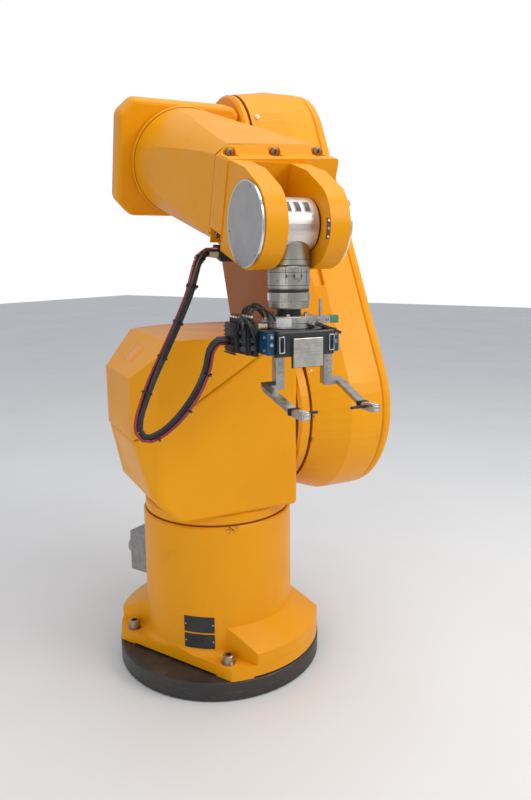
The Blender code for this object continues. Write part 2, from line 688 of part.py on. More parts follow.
def finger_outline(side):
    """Plan of a finger's flat arm as (forward, sideways) points: a jog outward, then forward."""
    inner = JAW_OFFSET - JAW_WIDTH / 2
    outer = JAW_OFFSET + FINGER_JOG
    back = JAW_FRONT - JAW_WIDTH / 2
    front = JAW_FRONT + JAW_WIDTH / 2
    reach = JAW_FRONT + FINGER_REACH
    tip = JAW_OFFSET + FINGER_JOG * 0.6
    points = [(back, inner), (back, outer), (front, outer + 0.004), (reach, tip + TIP_SIZE / 2),
              (reach, tip - TIP_SIZE / 2), (front, outer - 0.012), (front, inner)]
    return [(x, side * y) for x, y in points]


def make_fingers(tool):
    for name, side in (("left", -1), ("right", 1)):
        jaw = link("frame_jaw_" + name, tool, Matrix.Translation((JAW_FRONT, side * JAW_OFFSET, GRIPPER_BASE)))
        finish = steel("finger_%s_steel" % name)
        top = -RUNNING_GAP
        low = -JAW_DROP
        half = JAW_WIDTH / 2
        bar = block((-half, -half, low - FINGER_THICKNESS), (half, half, top))
        finger = body("finger_" + name, bar, jaw, finish)
        shift = Matrix.Translation((-JAW_FRONT, -side * JAW_OFFSET, 0.0))
        plate = prism(finger_outline(side), low - FINGER_THICKNESS, low, "XY")
        fall = Matrix.Identity(4)
        fall[2][0] = -FINGER_FALL / FINGER_REACH
        combine(finger, helper("add_finger_" + name, plate, jaw, fall @ shift), "UNION")
        make_fingertip(name, side, jaw)


def make_fingertip(name, side, jaw):
    reach = FINGER_REACH + SEAT_GAP
    fall = -JAW_DROP - FINGER_FALL
    middle = side * FINGER_JOG * 0.6
    half = TIP_SIZE / 2
    tip = block((reach, middle - half, fall - FINGER_THICKNESS), (reach + TIP_LENGTH, middle + half, fall + 0.004))
    body("fingertip_" + name, tip, jaw, steel("tip_%s_steel" % name))
    turn = Matrix.Rotation(math.radians(90.0 * side), 4, "X")
    place = Matrix.Translation((reach + 0.008, middle - side * (half + SEAT_GAP), fall - 0.002)) @ turn
    body("fingertip_pin_" + name, drum(PIN_RADIUS, 0.0, PIN_LENGTH, 0.0, 12), jaw, black("pin_%s_black" % name), place)


def main():
    clear_scene()
    links = make_links()
    make_pedestal_plate(links["base"])
    make_base_casting(links["base"])
    make_connector_box(links["base"])
    make_shoulder(links["shoulder"])
    make_lower_arm(links["lower"])
    make_elbow(links["elbow"])
    make_forearm(links["forearm"])
    make_fork(links["forearm"])
    make_hose_clamp(links["forearm"])
    make_wrist(links["wrist"])
    make_flange(links["tool"])
    make_bracket(links["tool"])
    make_gripper(links["tool"])
    make_manifold(links["tool"])
    make_hose(links["wrist"])
    make_fingers(links["tool"])
    bpy.context.view_layer.update()


main()
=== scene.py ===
"""Looks of the six-axis robot arm: materials, fasteners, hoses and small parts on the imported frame.

Every piece is built in the frame of the link that carries it and moved to its place at rest.
Lengths are metres and angles are degrees. Tuples hold the arguments of the function that builds the
shape: a drum is (radius, low, high, bevel, steps), a ring (inner, outer, low, high, steps), a wrapped
patch (radius, start, end, low, high, thickness, steps), and a turned profile (radius, height) points.
"""
import json
import math
from functools import cache

import bmesh
import bpy
from mathutils import Matrix, Vector


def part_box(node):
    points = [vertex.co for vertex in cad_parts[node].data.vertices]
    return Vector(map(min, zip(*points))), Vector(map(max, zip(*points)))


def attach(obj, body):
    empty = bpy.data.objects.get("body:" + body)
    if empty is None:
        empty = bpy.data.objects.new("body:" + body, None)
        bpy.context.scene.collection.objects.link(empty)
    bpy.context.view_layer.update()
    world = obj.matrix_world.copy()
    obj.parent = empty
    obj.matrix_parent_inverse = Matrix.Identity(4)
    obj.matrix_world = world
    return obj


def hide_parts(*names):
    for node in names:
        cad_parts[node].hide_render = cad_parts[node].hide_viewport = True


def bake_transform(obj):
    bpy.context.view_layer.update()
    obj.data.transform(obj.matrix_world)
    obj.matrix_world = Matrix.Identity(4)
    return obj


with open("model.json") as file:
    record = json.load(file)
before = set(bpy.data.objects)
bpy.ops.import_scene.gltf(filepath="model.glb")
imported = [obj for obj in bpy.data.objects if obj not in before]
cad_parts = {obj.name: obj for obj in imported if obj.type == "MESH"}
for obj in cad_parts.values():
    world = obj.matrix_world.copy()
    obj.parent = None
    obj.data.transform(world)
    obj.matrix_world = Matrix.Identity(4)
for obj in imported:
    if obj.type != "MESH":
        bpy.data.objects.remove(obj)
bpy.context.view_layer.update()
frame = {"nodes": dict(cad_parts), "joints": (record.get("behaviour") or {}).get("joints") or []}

# Fits
SEAT_GAP = 0.0003
RUNNING_GAP = 0.0005
SUNK = 0.0004

# Pedestal, foot and column
PLATE_TOP = 0.045
FOOT_RADIUS = 0.240
FOOT_HALF_WIDTH = 0.176
FOOT_RIM = 0.055
FOOT_STEPS = 96
FOOT_SOFT = 0.0030
SKIRT_RISE = 0.040
SKIRT_HALF_WIDTH = 0.130
SKIRT_INSET = 0.004
FLANGE_HEIGHT = 0.028
RELIEF_HEIGHT = 0.004
RELIEF_HALF_LENGTH = 0.122
RELIEF_HALF_WIDTH = 0.138
COLUMN_RADIUS = 0.174
COLUMN_FOOT_RADIUS = 0.1755
COLUMN_FILLET = 0.014
COLUMN_TOP = 0.374
COLUMN_BEVEL = 0.004
BOLT_FORWARD = 0.140
BOLT_SIDEWAYS = 0.155
BOLT_TURN = 17.0
WASHER_INNER = 0.005
WASHER_RADIUS = 0.0160
WASHER_HEIGHT = 0.003
RATING_WIDTH = 0.070
RATING_ANGLE = -68.0
# Foot and height of each plate
RATING_HEIGHTS = ((0.1265, 0.0375), (0.0880, 0.0340))
RATING_DEPTH = 0.0012
RATING_THICKNESS = 0.0022
RIVET = (0.0016, 0.0, 0.0010, 0.0006, 12)
RIVET_LIFT = 0.0008
RIVET_SPREAD = 0.9
# Sockets and the number of their pins
SOCKET_PINS = (("power_socket", 6), ("signal_socket", 10))
SOCKET_WALL = 0.0022
SOCKET_SHELL = (-0.014, -0.004)
SOCKET_PIN = (0.0013, 0.0, 0.0030, 0.0008, 10)
SOCKET_PIN_HEIGHT = -0.0036
SOCKET_PIN_CIRCLE = 0.55
BOX_SCREW_INSET = 0.010

# Shoulder and lower arm
AXIS_Z = 0.595
SHOULDER_TOP = 0.785
SHOULDER_LEFT = 0.235
SHOULDER_RIGHT = 0.125
SEAM_ANGLE = 31.4
SEAM_RISE = 0.128
HUB_RADIUS = 0.183
ARM_INNER = 0.156
ARM_LENGTH = 0.650
FACET_EDGE = 0.160
FACET_DROP = 0.0375
FACET_TILT = 45.0
# Half length, half width and thickness
FACET_LABEL = (0.032, 0.020, 0.0004)
FACET_LABEL_FORWARD = 0.035
LABEL_BEVEL = 0.0001
# Plugs at the seams of the arm: name, link, height of its axis, turn, radius, height and profile
PLUGS = (
    ("shoulder_plug", "shoulder", AXIS_Z, -33.2, HUB_RADIUS + 0.0030, ARM_INNER + 0.010,
     [(0.0, -0.004), (0.0065, -0.004), (0.0065, 0.0015), (0.0050, 0.0025), (0.0028, 0.0025), (0.0022, 0.0055),
      (0.0, 0.0060)]),
    ("elbow_plug", "elbow", 0.0, -48.5, 0.1555, 0.172,
     [(0.0, -0.006), (0.0060, -0.006), (0.0060, 0.0015), (0.0045, 0.0028), (0.0024, 0.0028), (0.0020, 0.0055),
      (0.0, 0.0060)]),
)
ARM_COVER_FACE = 0.351
ARM_SCREWS_FOOT = 0.188
ARM_SCREWS_HEAD = 0.138
ARM_SCREWS_TAPER = 0.05
REAR_COVER_FACE = -0.175
REAR_SCREWS = ((-0.055, 0.0, 0.090), (-0.060, 0.060))

# Elbow and forearm
RING_DEPTH = 0.014
ELBOW_FRONT = 0.085
FOREARM_LENGTH = 0.650
SHELL_START_RADIUS = 0.123
SHELL_END = 0.485
SHELL_ROUNDNESS = 1.28
SHELL_SOFT = 0.006
FORK_LEFT = 0.082
FORK_RIGHT = 0.145
FORK_TOP = 0.104
FORK_TILT = 0.012
FORK_BOTTOM = 0.078
FORK_FLANGE = 0.060
FORK_CORNER = 0.020
FORK_LIP = 0.004
FORK_BAND = 0.010
FORK_INNER = 0.040
FORK_GAP_START = 0.066
FORK_SOFT = 0.0032
EAR_HALF_WIDTH = 0.080
EAR_RADIUS = 0.077
EAR_TOP = 0.088
EAR_SHOULDER = 0.035
EAR_CAP_RADIUS = 0.073
EAR_CAP_DEPTH = 0.005
EAR_SCREW_CIRCLE = 0.066
POCKET_RADIUS = 0.0125
POCKET_LENGTH = 0.026
POCKET_INSET = 0.012
NOTCH_LENGTH = 0.052
NOTCH_SHIFT = 0.006
RIM_WIDTH = 0.0022
RIM_DEPTH = 0.0045
RIM_PROUD = 0.0003
EAR_SLOT = (EAR_RADIUS - 0.0018, -24.0, 2.0, 0.0330, 0.0385, 0.0021, 10)
EAR_SLOT_SCREWS = (-21.0, -11.0, -1.0)
EAR_SLOT_MIDDLE = 0.0358

# Wrist
BARREL_RADIUS = 0.047
TUBE_RADIUS = 0.034
CUFF_RADIUS = 0.0375
SLEEVE_TOP = -0.0300
# Three pockets on the barrel's top, drawn as flat panes of painted shade with rims of painted highlight
BARREL_POCKETS = (-0.0215, -0.0030, 0.0155)
BARREL_POCKET_ANGLE = -38.0
BARREL_POCKET_HEIGHT = 0.022
BARREL_POCKET_HALF_WIDTH = 0.0062
POCKET_HIGHLIGHT_RIM = 0.0011
BARREL_RECESS = (0.0300, BARREL_RADIUS - 0.0020, 0.0378, 0.0392, 64)
MARK_DEPTH = 0.0010
# Grooves round the cuff as (low, high), then scribed lines as (start, end, low, high)
CUFF_GROOVES = ((-0.0595, -0.0587), (-0.0815, -0.0806), (-0.1045, -0.1036))
CUFF_LINES = (
    (-36.0, -34.6, -0.1000, -0.0720), (-14.0, -12.8, -0.0950, -0.0790), (-33.0, -12.8, -0.0878, -0.0868),
    (8.0, 9.2, -0.0945, -0.0740), (-12.8, 9.2, -0.0930, -0.0920), (28.0, 29.2, -0.1000, -0.0780),
    (-46.0, -36.0, -0.0785, -0.0777),
)
CUFF_DOTS = (-34.0, -13.0, 9.0)
CUFF_DOT_HALF = 2.4
CUFF_DOT_HEIGHTS = (-0.0900, -0.0850)
CUFF_SCREW_HEIGHT = -0.0960

# Tool flange and changer
KNURL_RADIUS = 0.0375
KNURL_COUNT = 90
# Height of a ridge above the band, and its half width
KNURL_TOOTH = (0.0006, 0.0008)
KNURL_BAND = (-0.1305, -0.1180)
FLANGE_GROOVE = (KNURL_RADIUS - 0.0030, KNURL_RADIUS - 0.0012, -0.1165, -0.1111, 64)
FLANGE_SCREW_HEIGHT = -0.1380
CHANGER_RADIUS = 0.048
CHANGER_TOP = -0.1571
CHANGER_MIDDLE = CHANGER_TOP - 0.011
CHANGER_LABEL = (CHANGER_RADIUS - SUNK, -54.0, -22.0, CHANGER_TOP - 0.0175, CHANGER_TOP - 0.0030, 0.0007, 10)
# Screws on the plate's side: angle and height from its middle
CHANGER_SCREWS = ((-8.0, 0.004), (-8.0, -0.004), (150.0, 0.0), (200.0, 0.0), (250.0, 0.0))
CHANGER_SCREW_CIRCLE = 0.036
KNOB_PROFILE = [(0.0, -0.003), (0.0030, -0.003), (0.0030, 0.004), (0.0050, 0.0045), (0.0054, 0.0060),
                (0.0054, 0.0120), (0.0046, 0.0135), (0.0, 0.0135)]
KNOB_GRIP = (0.0054, 0.0060, 0.0070, 0.0078, 24)
KNOB_ANGLE = 22.0
KNOB_DROP = 0.002
CHANGER_SEAM = (CHANGER_RADIUS - 0.0010, CHANGER_RADIUS + 0.0003, CHANGER_MIDDLE - 0.0012,
                CHANGER_MIDDLE - 0.0004, 72)
BRACKET_DROP = 0.022
BRACKET_HALF = 0.008
BRACKET_REACH = 0.034
BRACKET_SIZE = 0.014
BRACKET_LIFT = 0.004
BRACKET_SCREW_INSETS = (0.008, 0.006)
ROD_OFFSET = 0.0653
TERMINAL_REACH = 0.018
TERMINAL_RIDGES = 4
TERMINAL_START = 0.0025
TERMINAL_PITCH = 0.0038
# Width, height above the face, inset of the ends and bevel
TERMINAL_RIDGE = (0.0022, 0.0009, 0.0015, 0.0003)

# Gripper
GRIPPER_TOP = -0.1794
GRIPPER_BASE = -0.2234
GRIPPER_FRONT = 0.068
GRIPPER_HALF_WIDTH = 0.056
CAP_LENGTH = 0.015
SLOTS = ((-0.0550, -0.0445), (0.0430, 0.0535))
SLOT_HEIGHTS = (-0.2160, -0.1875)
SLOT_RIM = 0.0016
SLOT_PROUD = 0.0030
SLOT_FLOOR = 0.0008
SLOT_BEVEL = 0.0003
# Height above the face, insets along y and z, and bevel
SLOT_BLADE = (0.0022, 0.0042, 0.004, 0.0004)
CAP_SCREW_INSET = 0.010
CAP_FRONT_SCREWS = (-0.1890, -0.2020)
CAP_SIDE_SCREWS = ((-0.018, 0.045), (-0.190, -0.212))
# Low and high x, low and high z, and bevel
CAP_RAIL = (-0.026, 0.052, -0.1824, -0.1795, 0.0006)
CAP_RAIL_INSET = 0.001
# Back end, distance of the front end from the front face, half width and thickness
TOP_SKIN = (-0.036, 0.003, 0.052, 0.00025)
GUARD_OUTLINE = [(0.022, GRIPPER_TOP + 0.010), (0.026, GRIPPER_TOP + 0.013), (0.074, GRIPPER_TOP - 0.006),
                 (0.0715, GRIPPER_TOP - 0.010)]
# Distances of the guard's two ends from the front face
GUARD_SPAN = (0.026, 0.006)
# Half width, reach below the body and top
BACKING = (0.0305, 0.0195, -0.1900)
RAILS = (-0.047, -0.041, 0.041, 0.047)
# Low and high x, half width, depth and bevel
RAIL_SIZE = (-0.030, 0.060, 0.0016, 0.0014, 0.0004)

# Fingers
JAW_FRONT = 0.052
JAW_OFFSET = 0.048
JAW_DROP = 0.046
FINGER_REACH = 0.100
FINGER_JOG = 0.030
FINGER_FALL = 0.030
FINGER_FRONT = 0.008
FINGER_SCREWS = (-0.012, -0.026)
TIP_LENGTH = 0.032
TIP_SIZE = 0.015
TIP_SHIFT = 0.6
BAND_SETBACK = 0.007
BANDS = (-0.0060, -0.0015)
BAND_WIDTH = 0.0040
BAND_DROP = 0.008
BAND_MARGIN = 0.0022
BAND_HEIGHT = 0.0085
BAND_THICK = 0.0014
BAND_LOWER = 0.0012
BAND_BEVEL = 0.0005
TIP_RIBS = 4
TIP_RIB_START = 0.0120
TIP_RIB_PITCH = 0.0048
# Ribs and nose facet: length, inset of the sides, low and high z, and bevel
TIP_RIB = (0.0030, 0.0012, 0.0038, 0.0052, 0.0004)
TIP_NOSE = (0.0016, 0.0030, -0.0060, 0.0020, 0.0005)

# Hoses
HOSE_RADIUS = 0.0055
TUBE_PIPE_RADIUS = 0.0030
HOSE_STEP = 0.012
HOSE_SIDES = 14
# Route of the hose in the wrist frame, from the clamp under the fork to the gripper's manifold
HOSE_ROUTE = [
    (-0.154, -0.0753, -0.0465), (-0.154, -0.093, -0.0465), (-0.139, -0.115, -0.061), (-0.115, -0.134, -0.089),
    (-0.096, -0.151, -0.120), (-0.089, -0.173, -0.162), (-0.084, -0.201, -0.214), (-0.079, -0.229, -0.264),
    (-0.074, -0.251, -0.310), (-0.069, -0.264, -0.342), (-0.064, -0.264, -0.362), (-0.059, -0.249, -0.369),
    (-0.054, -0.222, -0.357), (-0.049, -0.193, -0.331), (-0.042, -0.166, -0.293), (-0.034, -0.149, -0.250),
    (-0.019, -0.147, -0.213), (-0.010, -0.134, -0.195), (-0.010, -0.1166, -0.195),
]
HOSE_TURN = 10
# Tubes of the bundle: name, place round the hose in degrees and finish
TUBES = (("tube_red", 115.0, "tube_red"), ("tube_plum", 178.0, "tube_plum"),
         ("tube_black", 30.0, "hose_rubber"))
TUBE_SQUEEZE = 0.0002
BUNDLE_TWIST = 40.0
TIE_RING = (0.0092, 0.0102, -0.0016, 0.0016, 20)
TIE_HEAD = ((0.0085, -0.002, -0.002), (0.0130, 0.002, 0.002), 0.0004)
TIE_SPACING = 6
JUMPER_RADIUS = 0.0024
JUMPER_SIDES = 12
JUMPER_POINTS = 20
LOOP_BOW = 0.0095
LOOP_LIFT = 0.002
CLAMP_STATION = 0.517
CLAMP_HEIGHT = -0.0903
CLAMP_SLEEVE = [(0.0, -0.0350), (0.0082, -0.0350), (0.0082, -0.0190), (0.0070, -0.0175), (0.0070, -0.0160),
                (0.0, -0.0160)]
CLAMP_GLAND_RINGS = 6
# Inner and outer radius, taper of each ring, start, pitch and width
CLAMP_GLAND = (0.0064, 0.0098, 0.0004, -0.0751, 0.0030, 0.0021)
CLAMP_GROOVES = (-0.070, -0.062, -0.054, -0.046)
# Half length, width, reach below and above the hose, and bevel
CLAMP_GROOVE = (0.0226, 0.0030, 0.0104, 0.0060, 0.0008)

# Manifold on the gripper's left side: its rows are measured from the end cap's wall
MANIFOLD_WALL = -(GRIPPER_HALF_WIDTH + CAP_LENGTH + SEAT_GAP)
MANIFOLD_TOP = GRIPPER_TOP + 0.014
# Front end and foot of each slice
MANIFOLD_SLICES = ((0.0250, -0.0600), (0.0225, -0.0575), (0.0250, -0.0540), (0.0205, -0.0520))
SLICE_PITCH = 0.0112
SLICE_BACK = -0.0245
SLICE_WIDTH = 0.0108
SLICE_BEVEL = 0.0022
SLICE_INSET = 0.0045
SLICE_STEP = 0.006
ROWS = (MANIFOLD_WALL - 0.012, MANIFOLD_WALL - 0.032)
COLUMNS = (-0.018, -0.006, 0.006, 0.018)
CUP = (0.0046, -SUNK, 0.0075, 0.0008, 20)
COLLAR = (0.0036, 0.0070, 0.0110, 0.0006, 20)
FITTING = [(0.0, 0.0), (0.0054, 0.0), (0.0054, 0.006), (0.0042, 0.007), (0.0042, 0.0150), (0.0050, 0.0155),
           (0.0050, 0.0185), (0.0, 0.0185)]
FITTING_STATIONS = (-0.006, 0.010)
FITTING_INSET = 0.003
FITTING_LIFT = 0.0052
TUBE_SEAT = 0.0105
PORT_LEVELS = (0.016, 0.030, 0.044)
PORT = (0.0052, -0.0050, 0.0030, 0.0008, 6)
PORT_FACE = 0.025
MANIFOLD_RIBS = 7
MANIFOLD_RIB_START = 0.008
MANIFOLD_RIB_PITCH = 0.0075
# Half length, near and far side from the wall, half height and bevel
MANIFOLD_RIB = (0.0245, 0.0440, 0.0460, 0.0014, 0.0005)

# Cap screws: radius, height and steps round
SCREWS = {
    "foot": (0.0125, 0.017, 48), "box": (0.0035, 0.0030, 24), "arm_cover": (0.0050, 0.0024, 24),
    "rear_cover": (0.0045, 0.0030, 24), "fork": (0.0070, 0.0075, 32), "ear": (0.0020, 0.0009, 24),
    "slot": (0.0022, 0.0018, 24), "cuff": (0.0024, 0.0016, 24), "flange": (0.0022, 0.0012, 24),
    "changer_side": (0.0028, 0.0016, 24), "changer_top": (0.0042, 0.0040, 24),
    "bracket": (0.0030, 0.0022, 24), "cap_front": (0.0032, 0.0026, 24), "cap_side": (0.0030, 0.0024, 24),
    "finger": (0.0030, 0.0022, 24),
}

# Camera, at the photograph's place
CAMERA_AZIMUTH = 37.5
CAMERA_DISTANCE = 1.6019
CAMERA_HEIGHT = 0.9472
CAMERA_YAW = 4.205
CAMERA_PITCH = -11.595
CAMERA_ROLL = -0.454
CAMERA_LENS = 31.5

# Colours, linear
YELLOW = (0.86, 0.352, 0.0008)
YELLOW_DEEP = (0.78, 0.302, 0.0006)
# Lighter yellow of upward faces: partly dust, partly a painted sheen of the light from above
YELLOW_DUST_AND_SHEEN = (0.84, 0.43, 0.05)
SEAM_BROWN = (0.20, 0.045, 0.003)
CHIP_DARK = (0.035, 0.025, 0.018)
STEEL = (0.70, 0.70, 0.69)
CUFF_METAL = (0.44, 0.42, 0.37)
DISC_METAL = (0.50, 0.49, 0.47)
BARREL_METAL = (0.70, 0.66, 0.61)
CHANGER_METAL = (0.56, 0.54, 0.50)
BRACKET_METAL = (0.52, 0.51, 0.48)
ROD_METAL = (0.55, 0.54, 0.50)
FINGER_METAL = (0.50, 0.49, 0.46)
TIP_METAL = (0.60, 0.59, 0.56)
NICKEL = (0.66, 0.63, 0.56)
DARK_STEEL = (0.30, 0.29, 0.28)
BLACK = (0.006, 0.006, 0.0065)
CHARCOAL = (0.045, 0.045, 0.048)
CAST_BLACK = (0.022, 0.020, 0.019)
RUBBER = (0.009, 0.009, 0.0095)
RUBBER_WORN = (0.05, 0.05, 0.052)
ORANGE_BROWN = (0.42, 0.11, 0.02)
GREY = (0.24, 0.23, 0.22)
FLOOR = (0.78, 0.78, 0.77)

# Finishes of small parts: colour, roughness, scale of the grain, its depth, worn colour and metalness
FINISHES = {
    "bolt_zinc": ((0.46, 0.42, 0.35), 0.33, 500.0, 0.10, (0.20, 0.16, 0.12), 1.0),
    "plate_enamel": (BLACK, 0.30, 700.0, 0.04, (0.05, 0.05, 0.05)),
    "rivet_steel": (STEEL, 0.3, 700.0, 0.05, DARK_STEEL, 1.0),
    "socket_zinc": ((0.42, 0.41, 0.38), 0.35, 400.0, 0.10, DARK_STEEL, 1.0),
    "pin_brass": ((0.58, 0.42, 0.17), 0.3, 500.0, 0.05, DARK_STEEL, 1.0),
    "label_orange": ((0.84, 0.30, 0.004), 0.30, 300.0, 0.03, YELLOW_DEEP),
    "plug_ivory": ((0.78, 0.75, 0.66), 0.35, 300.0, 0.05, (0.45, 0.40, 0.30)),
    "cover_screw_zinc": ((0.40, 0.38, 0.34), 0.35, 500.0, 0.08, DARK_STEEL, 1.0),
    "fork_screw_steel": ((0.30, 0.27, 0.24), 0.3, 400.0, 0.1, (0.5, 0.48, 0.44), 1.0),
    "rim_steel": ((0.72, 0.72, 0.71), 0.16, 500.0, 0.04, STEEL, 1.0),
    "ear_screw": (DARK_STEEL, 0.4, 400.0, 0.1, STEEL, 1.0),
    "slot_dark": ((0.10, 0.045, 0.006), 0.6, 300.0, 0.1),
    # White of the painted highlights on the rims of the barrel's pockets
    "highlight_white": ((0.70, 0.69, 0.66), 0.35, 500.0, 0.05, (0.5, 0.5, 0.48)),
    "recess_black": (BLACK, 0.6, 300.0, 0.08),
    "mark_dark": ((0.035, 0.032, 0.028), 0.5, 400.0, 0.08),
    "cuff_screw_steel": (DARK_STEEL, 0.35, 400.0, 0.08, STEEL, 1.0),
    "knurl_steel": ((0.50, 0.49, 0.47), 0.3, 500.0, 0.06, DARK_STEEL, 1.0),
    "groove_black": (BLACK, 0.5, 300.0, 0.06),
    "flange_screw_steel": (DARK_STEEL, 0.35, 400.0, 0.08, STEEL, 1.0),
    "label_white": ((0.80, 0.80, 0.78), 0.4, 500.0, 0.03, (0.62, 0.62, 0.60)),
    "small_steel": ((0.52, 0.51, 0.49), 0.3, 500.0, 0.08, DARK_STEEL, 1.0),
    "seam_black": (BLACK, 0.5, 300.0, 0.05),
    "terminal_light": ((0.10, 0.32, 0.18), 0.4, 300.0, 0.06),
    "slot_chrome": ((0.74, 0.73, 0.70), 0.14, 500.0, 0.04, STEEL, 1.0),
    "slot_black": (BLACK, 0.35, 400.0, 0.05),
    "cap_screw_steel": ((0.62, 0.62, 0.61), 0.25, 500.0, 0.06, DARK_STEEL, 1.0),
    "rail_charcoal": (CHARCOAL, 0.4, 300.0, 0.08),
    "skin_charcoal": (CHARCOAL, 0.36, 500.0, 0.05, (0.075, 0.075, 0.080)),
    "guard_black": ((0.020, 0.020, 0.021), 0.35, 300.0, 0.06),
    "rail_steel": ((0.45, 0.45, 0.44), 0.3, 400.0, 0.06, DARK_STEEL, 1.0),
    "band_rubber": (RUBBER, 0.65, 500.0, 0.12),
    "finger_screw_steel": ((0.42, 0.41, 0.39), 0.3, 500.0, 0.08, STEEL, 1.0),
    "facet_steel": ((0.66, 0.65, 0.62), 0.22, 500.0, 0.05, STEEL, 1.0),
    "hose_rubber": (RUBBER, 0.38, 600.0, 0.06, RUBBER_WORN),
    "tube_red": ((0.24, 0.020, 0.024), 0.26, 500.0, 0.04, (0.34, 0.05, 0.05)),
    "tube_plum": ((0.20, 0.030, 0.075), 0.26, 500.0, 0.04, (0.30, 0.07, 0.13)),
    "tie_black": (BLACK, 0.5, 400.0, 0.05),
    "fitting_cream": ((0.72, 0.62, 0.44), 0.42, 300.0, 0.06, (0.55, 0.44, 0.28)),
    "fitting_black": (BLACK, 0.42, 300.0, 0.08),
    "fitting_brown": (ORANGE_BROWN, 0.35, 300.0, 0.06, (0.28, 0.09, 0.03)),
    "manifold_black": (BLACK, 0.42, 260.0, 0.12),
    "plug_dark": ((0.03, 0.03, 0.032), 0.38, 400.0, 0.06, (0.10, 0.10, 0.10)),
    "jumper_rubber": (RUBBER, 0.36, 600.0, 0.05, RUBBER_WORN),
    "socket_black": (BLACK, 0.45, 300.0, 0.08),
    "socket_dark": ((0.02, 0.02, 0.022), 0.45, 300.0, 0.08),
    "clamp_black": (BLACK, 0.45, 300.0, 0.10),
    "neck_black": (BLACK, 0.5, 300.0, 0.10),
    "terminal_green": ((0.06, 0.22, 0.12), 0.42, 300.0, 0.06),
    "gripper_black": ((0.017, 0.017, 0.018), 0.34, 400.0, 0.07, CHARCOAL),
    "cap_blue": ((0.010, 0.075, 0.165), 0.32, 500.0, 0.05, (0.015, 0.11, 0.22), 0.3),
    "pin_rubber": (RUBBER, 0.5, 500.0, 0.10),
}

# CAD pieces that wear one of these finishes
MOULDED_NODES = (
    ("power_socket", "socket_black"), ("signal_socket", "socket_dark"), ("hose_clamp", "clamp_black"),
    ("flange_neck", "neck_black"), ("terminal_block", "terminal_green"), ("gripper_body", "gripper_black"),
)

# Chips in the paint: link, point and radius
COLUMN_CHIPS = [("shoulder", (0.170, -0.035, COLUMN_TOP), 0.020),
                ("shoulder", (0.131, 0.114, COLUMN_TOP), 0.012)]
ARM_CHIPS = [("shoulder", (0.1827, ARM_INNER - 0.003, 0.602), 0.014),
             ("shoulder", (0.178, ARM_INNER, 0.548), 0.010)]

FULL_TURN = 2.0 * math.pi
ALONG_X = Matrix.Rotation(math.radians(90.0), 4, "Y")
BACK_X = Matrix.Rotation(math.radians(-90.0), 4, "Y")
ALONG_Y = Matrix.Rotation(math.radians(-90.0), 4, "X")
BACK_Y = Matrix.Rotation(math.radians(90.0), 4, "X")
UP = Vector((0.0, 0.0, 1.0))
SIDES = (("left", -1), ("right", 1))
CORNERS = ((-1, -1), (1, -1), (1, 1), (-1, 1))


def joint(name):
    return next(item for item in frame["joints"] if item["name"] == name)


def axes(origin, side, up):
    """Frame of a link from its origin, its sideways axis and its upward axis."""
    forward = side.cross(up).normalized()
    turn = Matrix((forward, side.normalized(), up.normalized())).transposed().to_4x4()
    return Matrix.Translation(origin) @ turn


def link_places():
    """The frames of the links at rest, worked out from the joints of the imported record."""
    lean = joint("lower_arm_lean")
    side = Vector(lean["axis"])
    shoulder_axis = Vector(lean["pos_m"])
    elbow_axis = Vector(joint("elbow_bend")["pos_m"])
    wrist_axis = Vector(joint("wrist_pitch")["pos_m"])
    along = Vector(joint("forearm_roll")["axis"])
    forearm = axes(elbow_axis, side, along.cross(side))
    wrist = axes(wrist_axis, side, UP)
    places = {"base": Matrix.Identity(4), "shoulder": axes(Vector((0.0, 0.0, 0.0)), side, UP),
              "lower_arm": axes(shoulder_axis, side, elbow_axis - shoulder_axis), "elbow": forearm,
              "forearm": forearm, "wrist": wrist, "tool": wrist}
    for name, y in SIDES:
        places["jaw_" + name] = wrist @ Matrix.Translation((JAW_FRONT, y * JAW_OFFSET, GRIPPER_BASE))
    return places


PLACES = link_places()


def arc(centre, radius, start, end, steps):
    """Points on an arc in a plane, from one angle to another."""
    points = []
    for i in range(steps + 1):
        angle = math.radians(start + (end - start) * i / steps)
        points.append((centre[0] + radius * math.cos(angle), centre[1] + radius * math.sin(angle)))
    return points


def turned(profile, steps=48):
    """Revolve (radius, height) points about +Z into a closed body."""
    bm = bmesh.new()
    verts = [bm.verts.new((radius, 0.0, height)) for radius, height in profile]
    edges = [bm.edges.new(pair) for pair in zip(verts, verts[1:])]
    bmesh.ops.spin(bm, geom=verts + edges, axis=(0, 0, 1), cent=(0, 0, 0),
                   steps=steps, angle=FULL_TURN, use_merge=True)
    bmesh.ops.remove_doubles(bm, verts=bm.verts, dist=0.00001)
    return bm


def drum(radius, low, high, bevel=0.0, steps=48):
    """A turned disc between two heights, with a rounded rim at the top."""
    profile = [(0.0, low), (radius, low)]
    profile += arc((radius - bevel, high - bevel), bevel, 0.0, 90.0, 4) if bevel > 0.0 else [(radius, high)]
    return turned(profile + [(0.0, high)], steps)


def ring(inner, outer, low, high, steps=48):
    """A flat ring between two radii and two heights."""
    return turned([(inner, low), (outer, low), (outer, high), (inner, high), (inner, low)], steps)


def prism(outline, start, end, plane="XZ"):
    """Extrude a flat outline between two stations along the axis across its plane."""
    spots = {"XY": (0, 1, 2), "XZ": (0, 2, 1), "YZ": (1, 2, 0)}[plane]

    def spot(a, b, c):
        point = [0.0, 0.0, 0.0]
        for axis, value in zip(spots, (a, b, c)):
            point[axis] = value
        return Vector(point)

    bm = bmesh.new()
    face = bm.faces.new([bm.verts.new(spot(a, b, start)) for a, b in outline])
    grown = bmesh.ops.extrude_face_region(bm, geom=[face])
    verts = [item for item in grown["geom"] if isinstance(item, bmesh.types.BMVert)]
    bmesh.ops.translate(bm, vec=spot(0.0, 0.0, end - start), verts=verts)
    bmesh.ops.recalc_face_normals(bm, faces=bm.faces)
    return bm


